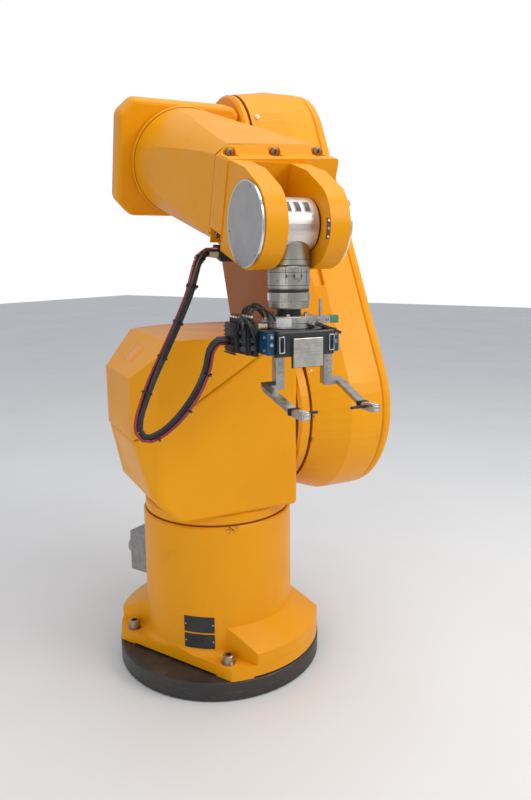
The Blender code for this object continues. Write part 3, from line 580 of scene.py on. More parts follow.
def block(low, high, bevel=0.0):
    """A box between two corners, with rounded edges."""
    outline = [(low[0], low[1]), (high[0], low[1]), (high[0], high[1]), (low[0], high[1])]
    bm = prism(outline, low[2], high[2], "XY")
    if bevel > 0.0:
        bmesh.ops.bevel(bm, geom=bm.edges, offset=bevel, segments=2, profile=0.5, affect="EDGES")
    return bm


def loft(sections):
    """Join closed rings of equally many points, with both ends capped."""
    bm = bmesh.new()
    rings = [[bm.verts.new(point) for point in section] for section in sections]
    count = len(rings[0])
    for near, far in zip(rings, rings[1:]):
        for i in range(count):
            j = (i + 1) % count
            bm.faces.new((near[i], near[j], far[j], far[i]))
    bm.faces.new(rings[0])
    bm.faces.new(rings[-1])
    bmesh.ops.recalc_face_normals(bm, faces=bm.faces)
    return bm


def tube(points, radius, steps=12):
    """A round tube along a list of points, with both ends capped."""
    path = [Vector(point) for point in points]
    across = (path[1] - path[0]).orthogonal().normalized()
    sections = []
    for i, point in enumerate(path):
        along = (path[min(i + 1, len(path) - 1)] - path[max(i - 1, 0)]).normalized()
        across = (across - along * across.dot(along)).normalized()
        other = along.cross(across)
        turns = [FULL_TURN * k / steps for k in range(steps)]
        sections.append([point + radius * (math.cos(a) * across + math.sin(a) * other) for a in turns])
    return loft(sections)


def hexagon(radius, angle):
    """Distance from the centre to a hexagon's side, for a hexagon that fits in the radius."""
    apothem = radius * math.cos(math.radians(30.0))
    offset = (angle + math.radians(30.0)) % math.radians(60.0) - math.radians(30.0)
    return apothem / math.cos(offset)


def socket_screw(radius, height, steps=24):
    """Cap screw head with a knurled side and a hexagon socket, standing on the plane z = 0."""
    key = 0.55 * radius
    edge = 0.12 * radius
    grip = 0.02 * radius
    levels = ((radius, 0.0, grip), (radius, height - edge, grip), (radius - edge, height, 0.0))
    sections = []
    for size, z, rough in levels:
        sections.append([(size - rough * (k % 2), k, z) for k in range(steps)])
    for z in (height, 0.45 * height):
        sections.append([(hexagon(key, FULL_TURN * k / steps), k, z) for k in range(steps)])
    rings = []
    for section in sections:
        rings.append([(r * math.cos(FULL_TURN * k / steps), r * math.sin(FULL_TURN * k / steps), z)
                      for r, k, z in section])
    return loft(rings)


def add(target, part, place=None):
    """Merge one mesh under construction into another, at a place."""
    if place is not None:
        bmesh.ops.transform(part, matrix=place, verts=part.verts)
    spare = bpy.data.meshes.new("spare")
    part.to_mesh(spare)
    part.free()
    target.from_mesh(spare)
    bpy.data.meshes.remove(spare)
    return target


def at(x, y, z):
    return Matrix.Translation((x, y, z))


def spin(angle):
    return Matrix.Rotation(math.radians(angle), 4, "Z")


def shade(mesh, angle=35.0):
    mesh.shade_smooth()
    mesh.set_sharp_from_angle(angle=math.radians(angle))


def settle(bm, carrier, place=None):
    """Move a mesh under construction from a link's frame to its place at rest."""
    local = PLACES[carrier] if place is None else PLACES[carrier] @ place
    bmesh.ops.transform(bm, matrix=local, verts=bm.verts)
    return bm


def object_of(name, bm, look=None, angle=35.0):
    """Turn a mesh under construction into an object, shaded smooth up to an angle if it has a material."""
    bmesh.ops.recalc_face_normals(bm, faces=bm.faces)
    mesh = bpy.data.meshes.new(name)
    bm.to_mesh(mesh)
    bm.free()
    if look is not None:
        shade(mesh, angle)
        mesh.materials.append(look)
    made = bpy.data.objects.new(name, mesh)
    bpy.context.collection.objects.link(made)
    return made


def piece(name, bm, look, carrier, place=None):
    """Turn a mesh built in a link's frame into a named piece that rides on that link's body."""
    made = object_of(name, settle(bm, carrier, place), look)
    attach(made, carrier)
    return made


def cutter(bm, carrier, place=None):
    """A temporary object for a Boolean, in a link's frame."""
    return object_of("cutter", settle(bm, carrier, place))


def combine(target, other, operation):
    """Apply a Boolean to a piece and remove the object that it used."""
    modifier = target.modifiers.new("combine", "BOOLEAN")
    modifier.operation = operation
    modifier.solver = "EXACT"
    modifier.object = other
    apply_modifiers(target)
    spare = other.data
    bpy.data.objects.remove(other)
    bpy.data.meshes.remove(spare)


def apply_modifiers(target):
    graph = bpy.context.evaluated_depsgraph_get()
    mesh = bpy.data.meshes.new_from_object(target.evaluated_get(graph))
    spare = target.data
    target.modifiers.clear()
    target.data = mesh
    bpy.data.meshes.remove(spare)


def soften(target, width, segments=3, angle=30.0):
    """Round the edges of a piece and keep its flats flat."""
    modifier = target.modifiers.new("soft_edges", "BEVEL")
    modifier.width = width
    modifier.segments = segments
    modifier.limit_method = "ANGLE"
    modifier.angle_limit = math.radians(angle)
    modifier.harden_normals = True


class Look:
    """One procedural material: a Principled shader and the helpers that feed it."""

    def __init__(self, name, colour, roughness, metallic=0.0, coat=0.0):
        self.made = bpy.data.materials.new(name)
        self.made.use_nodes = True
        self.tree = self.made.node_tree
        self.shader = self.tree.nodes["Principled BSDF"]
        self.shader.inputs["Base Color"].default_value = (*colour, 1.0)
        self.shader.inputs["Roughness"].default_value = roughness
        self.shader.inputs["Metallic"].default_value = metallic
        self.shader.inputs["Coat Weight"].default_value = coat
        self.shader.inputs["Coat Roughness"].default_value = 0.25
        self.height = None
        self.point = self.tree.nodes.new("ShaderNodeTexCoord").outputs["Object"]

    def link(self, source, socket):
        """Feed a socket from another node's output or from a plain value."""
        if isinstance(source, bpy.types.NodeSocket):
            self.tree.links.new(source, socket)
        elif isinstance(source, tuple) and len(source) == 3 and socket.type == "RGBA":
            socket.default_value = (*source, 1.0)
        else:
            socket.default_value = source

    def maths(self, operation, first, second=0.0):
        node = self.tree.nodes.new("ShaderNodeMath")
        node.operation = operation
        self.link(first, node.inputs[0])
        self.link(second, node.inputs[1])
        return node.outputs[0]

    def vector(self, operation, first, second):
        node = self.tree.nodes.new("ShaderNodeVectorMath")
        node.operation = operation
        self.link(first, node.inputs[0])
        self.link(second, node.inputs[1])
        return node.outputs["Value" if operation in ("DOT_PRODUCT", "DISTANCE") else "Vector"]

    def local(self, carrier, place=None):
        """The point in a link's frame at rest."""
        frame_matrix = PLACES[carrier] if place is None else PLACES[carrier] @ place
        back = frame_matrix.inverted()
        node = self.tree.nodes.new("ShaderNodeMapping")
        self.link(self.point, node.inputs["Vector"])
        node.inputs["Location"].default_value = back.to_translation()
        node.inputs["Rotation"].default_value = back.to_euler("XYZ")
        return node.outputs[0]

    def stretched(self, scale, point=None):
        return self.vector("MULTIPLY", point or self.point, scale)

    def round_about_z(self, point, scale):
        """Coordinates (radius, turn, height) about the local z axis, for marks left by turning."""
        split = self.tree.nodes.new("ShaderNodeSeparateXYZ")
        self.link(point, split.inputs[0])
        x, y, z = split.outputs
        square = self.maths("ADD", self.maths("MULTIPLY", x, x), self.maths("MULTIPLY", y, y))
        joined = self.tree.nodes.new("ShaderNodeCombineXYZ")
        self.link(self.maths("MULTIPLY", self.maths("SQRT", square), scale[0]), joined.inputs[0])
        self.link(self.maths("MULTIPLY", self.maths("ARCTAN2", y, x), scale[1]), joined.inputs[1])
        self.link(self.maths("MULTIPLY", z, scale[2]), joined.inputs[2])
        return joined.outputs[0]

    def noise(self, scale, detail=3.0, point=None):
        node = self.tree.nodes.new("ShaderNodeTexNoise")
        node.inputs["Scale"].default_value = scale
        node.inputs["Detail"].default_value = detail
        self.link(point or self.point, node.inputs["Vector"])
        return node.outputs["Fac"]

    def remap(self, value, low, high, out_low=0.0, out_high=1.0):
        node = self.tree.nodes.new("ShaderNodeMapRange")
        self.link(value, node.inputs["Value"])
        node.inputs["From Min"].default_value = low
        node.inputs["From Max"].default_value = high
        node.inputs["To Min"].default_value = out_low
        node.inputs["To Max"].default_value = out_high
        return node.outputs[0]

    def mix(self, share, first, second):
        node = self.tree.nodes.new("ShaderNodeMix")
        node.data_type = "RGBA"
        self.link(share, node.inputs["Factor"])
        self.link(first, node.inputs[6])
        self.link(second, node.inputs[7])
        return node.outputs[2]

    def colour(self, source):
        self.link(source, self.shader.inputs["Base Color"])

    def rough(self, source):
        self.link(source, self.shader.inputs["Roughness"])

    def bump(self, height, strength, distance):
        """Add one layer of bump on top of those already there."""
        node = self.tree.nodes.new("ShaderNodeBump")
        node.inputs["Strength"].default_value = strength
        node.inputs["Distance"].default_value = distance
        self.link(height, node.inputs["Height"])
        if self.height is not None:
            self.link(self.height, node.inputs["Normal"])
        self.height = node.outputs[0]
        self.link(self.height, self.shader.inputs["Normal"])

    def slab(self, carrier, point, normal, half):
        """1 inside a thin slab about a plane of a link's frame, and 0 outside."""
        place = PLACES[carrier]
        world = (place.to_3x3() @ Vector(normal)).normalized()
        offset = world.dot(place @ Vector(point))
        height = self.vector("DOT_PRODUCT", self.point, tuple(world))
        distance = self.maths("ABSOLUTE", self.maths("SUBTRACT", height, offset))
        return self.remap(distance, half, 0.7 * half)

    def near(self, carrier, point, radius):
        """1 near a point of a link's frame, fading to 0 at the radius."""
        centre = tuple(PLACES[carrier] @ Vector(point))
        return self.remap(self.vector("DISTANCE", self.point, centre), radius, 0.4 * radius)


def paint(name, seams=(), chips=()):
    """Yellow machine enamel: two tones, dust and a painted sheen that lighten upward faces, a faint orange
    peel, dark seams and chips.
    """
    look = Look(name, YELLOW, 0.38, coat=0.03)
    look.shader.inputs["Specular IOR Level"].default_value = 0.22
    tone = look.remap(look.noise(2.6, 4.0), 0.35, 0.65)
    base = look.mix(tone, YELLOW, YELLOW_DEEP)
    # Upward faces are painted lighter: partly dust, partly a painted sheen of the light from above
    up = look.tree.nodes.new("ShaderNodeSeparateXYZ")
    look.link(look.tree.nodes.new("ShaderNodeTexCoord").outputs["Normal"], up.inputs[0])
    dust_and_sheen = look.maths("MULTIPLY", look.remap(up.outputs[2], 0.35, 1.0, 0.0, 0.34),
                      look.remap(look.noise(9.0, 5.0), 0.3, 0.75))
    base = look.mix(dust_and_sheen, base, YELLOW_DUST_AND_SHEEN)
    smudge = look.remap(look.noise(14.0, 6.0), 0.62, 0.80, 0.0, 0.16)
    base = look.mix(smudge, base, ORANGE_BROWN)
    roughness = look.remap(look.noise(11.0, 5.0), 0.3, 0.7, 0.31, 0.45)
    line = None
    for carrier, point, normal, half in seams:
        mark = look.slab(carrier, point, normal, half)
        line = mark if line is None else look.maths("MAXIMUM", line, mark)
    if line is not None:
        base = look.mix(look.maths("MULTIPLY", line, 0.75), base, SEAM_BROWN)
    for carrier, point, radius in chips:
        grain = look.remap(look.noise(330.0, 4.0), 0.52, 0.56)
        mark = look.maths("MULTIPLY", look.near(carrier, point, radius), grain)
        base = look.mix(mark, base, CHIP_DARK)
    look.colour(base)
    look.rough(roughness)
    look.bump(look.noise(420.0, 2.0), 0.05, 0.0004)
    look.bump(look.noise(30.0, 2.0), 0.05, 0.002)
    return look.made


def turned_metal(name, carrier, place=None, colour=STEEL, roughness=0.30, marks=0.12, stained=0.72):
    """Metal turned or brushed in rings about the local z axis of its place."""
    look = Look(name, colour, roughness, 1.0)
    point = look.local(carrier, place)
    rings = look.noise(1.0, 4.0, look.round_about_z(point, (900.0, 1.2, 900.0)))
    stain = look.noise(38.0, 5.0)
    dull = tuple(stained * part for part in colour)
    look.colour(look.mix(look.remap(stain, 0.35, 0.75), colour, dull))
    look.rough(look.maths("ADD", look.remap(rings, 0.3, 0.7, roughness - 0.08, roughness + 0.08),
                          look.remap(stain, 0.4, 0.8, 0.0, 0.12)))
    look.bump(rings, marks, 0.0004)
    return look.made


def brushed_metal(name, carrier, scale, colour=STEEL, roughness=0.32):
    """Metal brushed along the axis of its link's frame that has the smallest scale."""
    look = Look(name, colour, roughness, 1.0)
    grain = look.noise(1.0, 4.0, look.stretched(scale, look.local(carrier)))
    stain = look.noise(60.0, 5.0)
    dull = tuple(0.70 * part for part in colour)
    look.colour(look.mix(look.remap(stain, 0.4, 0.75), colour, dull))
    look.rough(look.remap(grain, 0.3, 0.7, roughness - 0.07, roughness + 0.12))
    look.bump(grain, 0.12, 0.0003)
    return look.made


@cache
def moulded(name, finish=None):
    """Plastic, rubber or a metal skin: fine grain, uneven gloss and a second, worn tone. Made once a name."""
    colour, roughness, grain, depth, *more = FINISHES[finish or name]
    worn = more[0] if more else tuple(min(1.0, 1.5 * part + 0.002) for part in colour)
    look = Look(name, colour, roughness, more[1] if len(more) > 1 else 0.0)
    tone = look.remap(look.noise(24.0, 5.0), 0.40, 0.72)
    look.colour(look.mix(look.maths("MULTIPLY", tone, 0.6), colour, worn))
    look.rough(look.remap(look.noise(45.0, 4.0), 0.3, 0.7, roughness - 0.08, roughness + 0.10))
    look.bump(look.noise(grain, 3.0), depth, 0.0005)
    return look.made


def cast_black(name):
    """Painted cast iron with rubbed, slightly brown patches."""
    look = Look(name, CAST_BLACK, 0.42)
    patch = look.remap(look.noise(7.0, 6.0), 0.45, 0.70)
    rub = look.remap(look.noise(1.0, 5.0, look.stretched((22.0, 22.0, 190.0))), 0.55, 0.80)
    base = look.mix(look.maths("MULTIPLY", patch, 0.6), CAST_BLACK, (0.050, 0.034, 0.027))
    look.colour(look.mix(look.maths("MULTIPLY", rub, 0.4), base, (0.10, 0.10, 0.10)))
    look.rough(look.remap(patch, 0.0, 1.0, 0.36, 0.55))
    look.bump(look.noise(140.0, 4.0), 0.18, 0.0008)
    return look.made


def sheet_grey(name):
    """Galvanised sheet metal with a soft spangle."""
    look = Look(name, GREY, 0.45, 0.55)
    cells = look.tree.nodes.new("ShaderNodeTexVoronoi")
    cells.inputs["Scale"].default_value = 90.0
    look.link(look.point, cells.inputs["Vector"])
    look.colour(look.mix(look.remap(cells.outputs["Distance"], 0.0, 0.8), GREY, (0.33, 0.33, 0.33)))
    look.rough(look.remap(look.noise(30.0, 4.0), 0.3, 0.7, 0.38, 0.55))
    look.bump(look.noise(200.0, 3.0), 0.08, 0.0004)
    return look.made


def wrapped(radius, start, end, low, high, thickness, steps=10):
    """A thin curved patch on a cylinder about local z, between two angles and two heights."""
    inner = arc((0.0, 0.0), radius, start, end, steps)
    outer = arc((0.0, 0.0), radius + thickness, end, start, steps)
    return prism(inner + outer, low, high, "XY")


def around(radius, angle, height=0.0):
    """Place whose local z points out of a cylinder about z, at an angle and a height."""
    return spin(angle) @ at(radius, 0.0, height) @ ALONG_X


def small(name, bm, finish, carrier, place=None):
    """A small part in one of the named finishes."""
    return piece(name, bm, moulded(finish), carrier, place)


def screws(kind, places):
    """Cap screws of one kind, at places whose z axis points out of the surface."""
    bm = bmesh.new()
    for place in places:
        add(bm, socket_screw(*SCREWS[kind]), place)
    return bm


def blocks(corners, bevel=0.0):
    """Several boxes in one mesh, each given by its low and high corner."""
    bm = bmesh.new()
    for low, high in corners:
        add(bm, block(low, high, bevel))
    return bm


def column_profile(flange_top):
    """Half section of the column, with the fillet that runs out on the flange."""
    centre = (COLUMN_FOOT_RADIUS + COLUMN_FILLET, flange_top + COLUMN_FILLET)
    profile = [(0.0, PLATE_TOP + SEAT_GAP), (centre[0] - SUNK, PLATE_TOP + SEAT_GAP)]
    profile += arc(centre, COLUMN_FILLET, 269.0, 180.0, 8)
    profile += [(COLUMN_RADIUS, COLUMN_TOP - COLUMN_BEVEL), (COLUMN_RADIUS - COLUMN_BEVEL, COLUMN_TOP),
                (0.0, COLUMN_TOP)]
    return profile


def skirt_cutter(base):
    """The thick round skirt in front of the column and behind it."""
    reach = 2.0 * FOOT_RADIUS
    rim = FOOT_RADIUS - SUNK
    rim_top = base + FOOT_RIM
    low = base + 2.0 * SUNK
    top = rim_top + SKIRT_RISE
    profile = [(0.0, low), (rim, low), (rim, rim_top), (COLUMN_FOOT_RADIUS - SKIRT_INSET, top), (0.0, top)]
    skirt = cutter(turned(profile, FOOT_STEPS), "base")
    width = block((-reach, -SKIRT_HALF_WIDTH, 0.0), (reach, SKIRT_HALF_WIDTH, COLUMN_TOP))
    combine(skirt, cutter(width, "base"), "INTERSECT")
    return skirt


def make_foot():
    """Column on a flange with two straight sides, and a thick round skirt in front and behind."""
    base = PLATE_TOP + SEAT_GAP
    reach = 2.0 * FOOT_RADIUS
    flange_top = base + FLANGE_HEIGHT
    seam = ("base", (0.0, 0.0, COLUMN_TOP), (0.0, 0.0, 1.0), 0.0005)
    column = turned(column_profile(flange_top), FOOT_STEPS)
    foot = piece("foot_and_column", column, paint("foot_enamel", [seam], COLUMN_CHIPS), "base")
    flange = drum(FOOT_RADIUS, base + SUNK, flange_top, 0.0, FOOT_STEPS)
    combine(foot, cutter(flange, "base"), "UNION")
    combine(foot, skirt_cutter(base), "UNION")
    sides = block((-reach, -FOOT_HALF_WIDTH, 0.0), (reach, FOOT_HALF_WIDTH, 2.0 * COLUMN_TOP))
    combine(foot, cutter(sides, "base"), "INTERSECT")
    for half_x, half_y in ((RELIEF_HALF_LENGTH, reach), (reach, RELIEF_HALF_WIDTH)):
        slab = block((-half_x, -half_y, 0.0), (half_x, half_y, base + RELIEF_HEIGHT))
        combine(foot, cutter(slab, "base"), "DIFFERENCE")
    soften(foot, FOOT_SOFT, 3, 25.0)
    shade(foot.data, 30.0)
    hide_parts("base_casting")


def make_foot_bolts():
    """Knurled cap screws with washers on the four corners of the flange."""
    washers = bmesh.new()
    places = []
    for i, (x, y) in enumerate(CORNERS):
        place = at(x * BOLT_FORWARD, y * BOLT_SIDEWAYS, PLATE_TOP + SEAT_GAP + FLANGE_HEIGHT)
        add(washers, ring(WASHER_INNER, WASHER_RADIUS, -SUNK, WASHER_HEIGHT), place)
        places.append(place @ at(0.0, 0.0, WASHER_HEIGHT) @ spin(BOLT_TURN * i))
    small("foot_bolts", screws("foot", places), "bolt_zinc", "base")
    small("foot_washers", washers, "bolt_zinc", "base")


def make_rating_plates():
    """Two bare black plates, riveted to the column."""
    half = math.degrees(0.5 * RATING_WIDTH / COLUMN_FOOT_RADIUS)
    start = RATING_ANGLE - half
    end = RATING_ANGLE + half
    inner = COLUMN_FOOT_RADIUS - RATING_DEPTH
    plates = bmesh.new()
    rivets = bmesh.new()
    for height, size in RATING_HEIGHTS:
        add(plates, wrapped(inner, start, end, height, height + size, RATING_THICKNESS, 14))
        for side in (-1, 1):
            angle = RATING_ANGLE + side * RIVET_SPREAD * half
            add(rivets, drum(*RIVET), around(COLUMN_FOOT_RADIUS + RIVET_LIFT, angle, height + 0.5 * size))
    small("rating_plates", plates, "plate_enamel", "base")
    small("rating_rivets", rivets, "rivet_steel", "base")


def make_socket_details():
    """Shells and pins of the two sockets, and the screws of their box."""
    shells = bmesh.new()
    pins = bmesh.new()
    for node, count in SOCKET_PINS:
        low, high = (Vector(corner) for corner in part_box(node))
        centre = 0.5 * (low + high)
        radius = 0.5 * (high.y - low.y)
        circle = SOCKET_PIN_CIRCLE * radius
        outward = at(low.x, centre.y, centre.z) @ BACK_X
        add(shells, ring(radius, radius + SOCKET_WALL, *SOCKET_SHELL), outward)
        for k in range(count):
            angle = FULL_TURN * k / count
            spot = at(circle * math.cos(angle), circle * math.sin(angle), SOCKET_PIN_HEIGHT)
            add(pins, drum(*SOCKET_PIN), outward @ spot)
    small("socket_shells", shells, "socket_zinc", "base")
    small("socket_pins", pins, "pin_brass", "base")
    low, high = (Vector(corner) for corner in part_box("connector_box"))
    places = []
    for y in (low.y + BOX_SCREW_INSET, high.y - BOX_SCREW_INSET):
        for z in (low.z + BOX_SCREW_INSET, high.z - BOX_SCREW_INSET):
            places.append(at(low.x + SUNK, y, z) @ BACK_X)
    small("box_screws", screws("box", places), "socket_zinc", "base")


def seam_normal():
    """Normal of the sloping seam of the shoulder, in the shoulder's frame."""
    tilt = math.radians(SEAM_ANGLE)
    return (0.0, -math.sin(tilt), math.cos(tilt))


def make_shoulder_details():
    """Bare label on the sloping facet, and the plugs at the arm's seams."""
    width, depth, height = FACET_LABEL
    label = block((-width, -depth, -SUNK), (width, depth, height), LABEL_BEVEL)
    tilt = Matrix.Rotation(math.radians(FACET_TILT), 4, "X")
    place = at(FACET_LABEL_FORWARD, -0.5 * (FACET_EDGE + SHOULDER_LEFT), SHOULDER_TOP - FACET_DROP) @ tilt
    small("facet_label", label, "label_orange", "shoulder", place)
    for name, link, axis_height, turn, radius, lift, profile in PLUGS:
        centre = PLACES["lower_arm"].inverted() @ PLACES[link] @ at(0.0, 0.0, axis_height) @ ALONG_Y
        seat = centre @ spin(turn) @ at(radius, 0.0, lift) @ ALONG_X
        small(name, turned(profile, 24), "plug_ivory", "lower_arm", seat)


def make_cover_screws():
    """Countersunk screws round the lower arm's cover and on the elbow's rear cover."""
    spots = arc((0.0, 0.0), ARM_SCREWS_FOOT, 190.0, 350.0, 5)
    spots += arc((0.0, ARM_LENGTH), ARM_SCREWS_HEAD, 10.0, 170.0, 4)
    spots += [(side * (ARM_SCREWS_FOOT - ARM_SCREWS_TAPER * share), ARM_LENGTH * share)
              for side in (-1, 1) for share in (0.3, 0.65)]
    places = [at(x, ARM_COVER_FACE - SUNK, z) @ ALONG_Y for x, z in spots]
    small("arm_cover_screws", screws("arm_cover", places), "cover_screw_zinc", "lower_arm")
    places = [at(REAR_COVER_FACE + SUNK, y, z) @ BACK_X for y in REAR_SCREWS[0] for z in REAR_SCREWS[1]]
    small("elbow_cover_screws", screws("rear_cover", places), "cover_screw_zinc", "elbow")


def shell_rings(root, count, grow, square):
    """Two rings of the forearm: about the round root, and about the fork's end face."""
    half_w = 0.5 * (FORK_LEFT + FORK_RIGHT)
    half_h = 0.5 * (FORK_TOP + FORK_BOTTOM)
    middle = (FORK_RIGHT - half_w, FORK_TOP - half_h)
    start = ELBOW_FRONT + RING_DEPTH + RUNNING_GAP
    ends = ((start, (0.0, 0.0), (root, root), 0.0),
            (SHELL_END, middle, (half_w * grow, half_h * grow), FORK_TILT / (FORK_LEFT + FORK_RIGHT)))
    rings = []
    for station, centre, size, slope in ends:
        section = []
        for i in range(count):
            angle = FULL_TURN * (i + 0.5) / count
            c = math.cos(angle)
            s = math.sin(angle)
            if square:
                c = math.copysign(1.0, c)
                s = math.copysign(1.0, s)
            y = centre[0] + size[0] * c
            section.append((station, y, centre[1] + size[1] * s + slope * max(0.0, s) * (y + FORK_LEFT)))
        rings.append(section)
    return rings


def make_forearm():
    """Shell from a round root to the fork: a cone cut by four flats, which leaves curved creases."""
    look = paint("forearm_enamel", [("forearm", (SHELL_END, 0.0, 0.0), (1.0, 0.0, 0.0), 0.0008)])
    cone = loft(shell_rings(SHELL_START_RADIUS, 96, SHELL_ROUNDNESS, False))
    shell = piece("forearm_cone", cone, look, "forearm")
    flats = cutter(loft(shell_rings(SHELL_START_RADIUS + SUNK, 4, 1.0, True)), "forearm")
    combine(shell, flats, "INTERSECT")
    soften(shell, SHELL_SOFT, 3, 20.0)
    shade(shell.data, 20.0)
    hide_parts("forearm_shell")


def screw_places():
    """Sideways place and height of the screws that hold the fork to the shell, the lower pair last."""
    top = FORK_TOP - POCKET_INSET
    low = 1.5 * POCKET_INSET - FORK_BOTTOM
    left = POCKET_INSET + 0.5 * FORK_CORNER - FORK_LEFT
    right = FORK_RIGHT - POCKET_INSET - 0.5 * FORK_CORNER
    middle = 0.5 * (left + right)
    return [(left, top), (middle, top + 0.5 * FORK_TILT), (right, top + FORK_TILT), (left - NOTCH_SHIFT, low),
            (right + NOTCH_SHIFT, low)]


def fork_end_outline():
    """End face of the fork's flange as (sideways, height) points."""
    corner = FORK_CORNER
    return [(-FORK_LEFT, corner - FORK_BOTTOM), (corner - FORK_LEFT, -FORK_BOTTOM),
            (FORK_RIGHT - corner, -FORK_BOTTOM), (FORK_RIGHT, corner - FORK_BOTTOM),
            (FORK_RIGHT, FORK_TOP + FORK_TILT - corner), (FORK_RIGHT - corner, FORK_TOP + FORK_TILT),
            (corner - FORK_LEFT, FORK_TOP), (-FORK_LEFT, FORK_TOP - corner)]


def cut_screw_seats(fork, seat):
    """Round pockets for the fork's screws, which are open to the side at the lower pair."""
    for y, z in screw_places():
        pocket = drum(POCKET_RADIUS, 0.0, POCKET_LENGTH, 0.0, 32)
        combine(fork, cutter(pocket, "forearm", at(seat, y, z) @ ALONG_X), "DIFFERENCE")
    for y, z in screw_places()[3:]:
        low_y, high_y = sorted((y, 2.0 * y))
        notch = block((seat, low_y, -2.0 * FORK_BOTTOM), (seat + NOTCH_LENGTH, high_y, z + POCKET_RADIUS))
        combine(fork, cutter(notch, "forearm"), "DIFFERENCE")


def make_fork():
    """Flange with a sloping band for its screws, and two round ears that hold the wrist."""
    root = SHELL_END + SEAT_GAP
    flange_end = root + FORK_FLANGE
    band_end = root + FORK_LIP + FORK_BAND
    lip = root + FORK_LIP
    sections = []
    for y, rise in ((-FORK_LEFT, 0.0), (FORK_RIGHT, FORK_TILT)):
        top = FORK_TOP + rise
        step = EAR_TOP + rise
        sections.append([(root, y, -FORK_BOTTOM), (flange_end, y, -FORK_BOTTOM), (flange_end, y, step),
                         (band_end, y, step), (lip, y, top), (root, y, top)])
    look = paint("fork_enamel", [("forearm", (SHELL_END, 0.0, 0.0), (1.0, 0.0, 0.0), 0.0010)])
    fork = piece("fork_casting", loft(sections), look, "forearm")
    combine(fork, cutter(prism(fork_end_outline(), 0.0, FOREARM_LENGTH, "YZ"), "forearm"), "INTERSECT")
    side = [(lip, -EAR_RADIUS)] + arc((FOREARM_LENGTH, 0.0), EAR_RADIUS, -90.0, 70.0, 32)
    side += [(FOREARM_LENGTH - EAR_SHOULDER, EAR_TOP - SUNK), (band_end + SUNK, EAR_TOP - SUNK)]
    ears = prism(side, -EAR_HALF_WIDTH, EAR_HALF_WIDTH, "XZ")
    combine(fork, cutter(ears, "forearm"), "UNION")
    gap = block((root + FORK_GAP_START, -FORK_INNER, -1.0), (1.0, FORK_INNER, 1.0))
    combine(fork, cutter(gap, "forearm"), "DIFFERENCE")
    seat = lip + 0.3 * FORK_BAND
    cut_screw_seats(fork, seat)
    soften(fork, FORK_SOFT, 3, 30.0)
    shade(fork.data, 25.0)
    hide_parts("wrist_fork")
    places = [at(seat - SUNK, y, z) @ ALONG_X for y, z in screw_places()]
    small("fork_screws", screws("fork", places), "fork_screw_steel", "forearm")


def make_ear_details():
    """Bright rims and small screws on the ear discs, and the slot in the right ear."""
    face = EAR_HALF_WIDTH + SEAT_GAP + EAR_CAP_DEPTH
    for name, side in SIDES:
        centre = at(FOREARM_LENGTH, 0.0, 0.0) @ (ALONG_Y if side > 0 else BACK_Y)
        rim = ring(EAR_CAP_RADIUS - RIM_WIDTH, EAR_CAP_RADIUS + RIM_PROUD, face - RIM_DEPTH,
                   face + RIM_PROUD, 96)
        small("ear_rim_" + name, rim, "rim_steel", "forearm", centre)
        places = [centre @ spin(angle) @ at(EAR_SCREW_CIRCLE, 0.0, face - SUNK)
                  for angle in range(25, 385, 60)]
        look = moulded("ear_screw_" + name, "ear_screw")
        piece("ear_screws_" + name, screws("ear", places), look, "forearm")
    hub = at(FOREARM_LENGTH, 0.0, 0.0) @ ALONG_Y
    small("ear_slot", wrapped(*EAR_SLOT), "slot_dark", "forearm", hub)
    places = [hub @ around(EAR_RADIUS - SUNK, angle, EAR_SLOT_MIDDLE) for angle in EAR_SLOT_SCREWS]
    small("ear_slot_screws", screws("slot", places), "rim_steel", "forearm")


def make_barrel_pockets():
    """Three pockets on top of the wrist's barrel, drawn flat: dark panes of painted shade framed by white
    rims of painted highlight.
    """
    frames = bmesh.new()
    shade_sheets = bmesh.new()
    half = math.degrees(0.5 * BARREL_POCKET_HEIGHT / BARREL_RADIUS)
    rim = POCKET_HIGHLIGHT_RIM
    turn = math.degrees(rim / BARREL_RADIUS)
    start = BARREL_POCKET_ANGLE - half
    end = BARREL_POCKET_ANGLE + half
    inner = BARREL_RADIUS - MARK_DEPTH
    for middle in BARREL_POCKETS:
        low = middle - BARREL_POCKET_HALF_WIDTH
        high = middle + BARREL_POCKET_HALF_WIDTH
        # Dark panes: painted shade inside the pockets
        add(shade_sheets, wrapped(inner, start, end, low, high, 0.0012, 8))
        # White rims: painted highlights on the pockets' edges
        for patch in ((start, start + turn, low, high), (end - turn, end, low, high),
                      (start, end, low, low + rim), (start, end, high - rim, high)):
            add(frames, wrapped(inner, *patch, 0.0018, 8))
    small("pocket_painted_highlights", frames, "highlight_white", "wrist", ALONG_Y)
    # Painted shade of the pockets, with lighter streaks
    look = Look("pocket_painted_shade", (0.03, 0.028, 0.025), 0.25)
    grid = look.noise(1.0, 2.0, look.stretched((900.0, 900.0, 260.0), look.local("wrist")))
    look.colour(look.mix(look.remap(grid, 0.50, 0.58), (0.025, 0.022, 0.020), (0.22, 0.20, 0.17)))
    look.rough(look.remap(grid, 0.4, 0.6, 0.2, 0.5))
    piece("pocket_shade_panes", shade_sheets, look.made, "wrist", ALONG_Y)


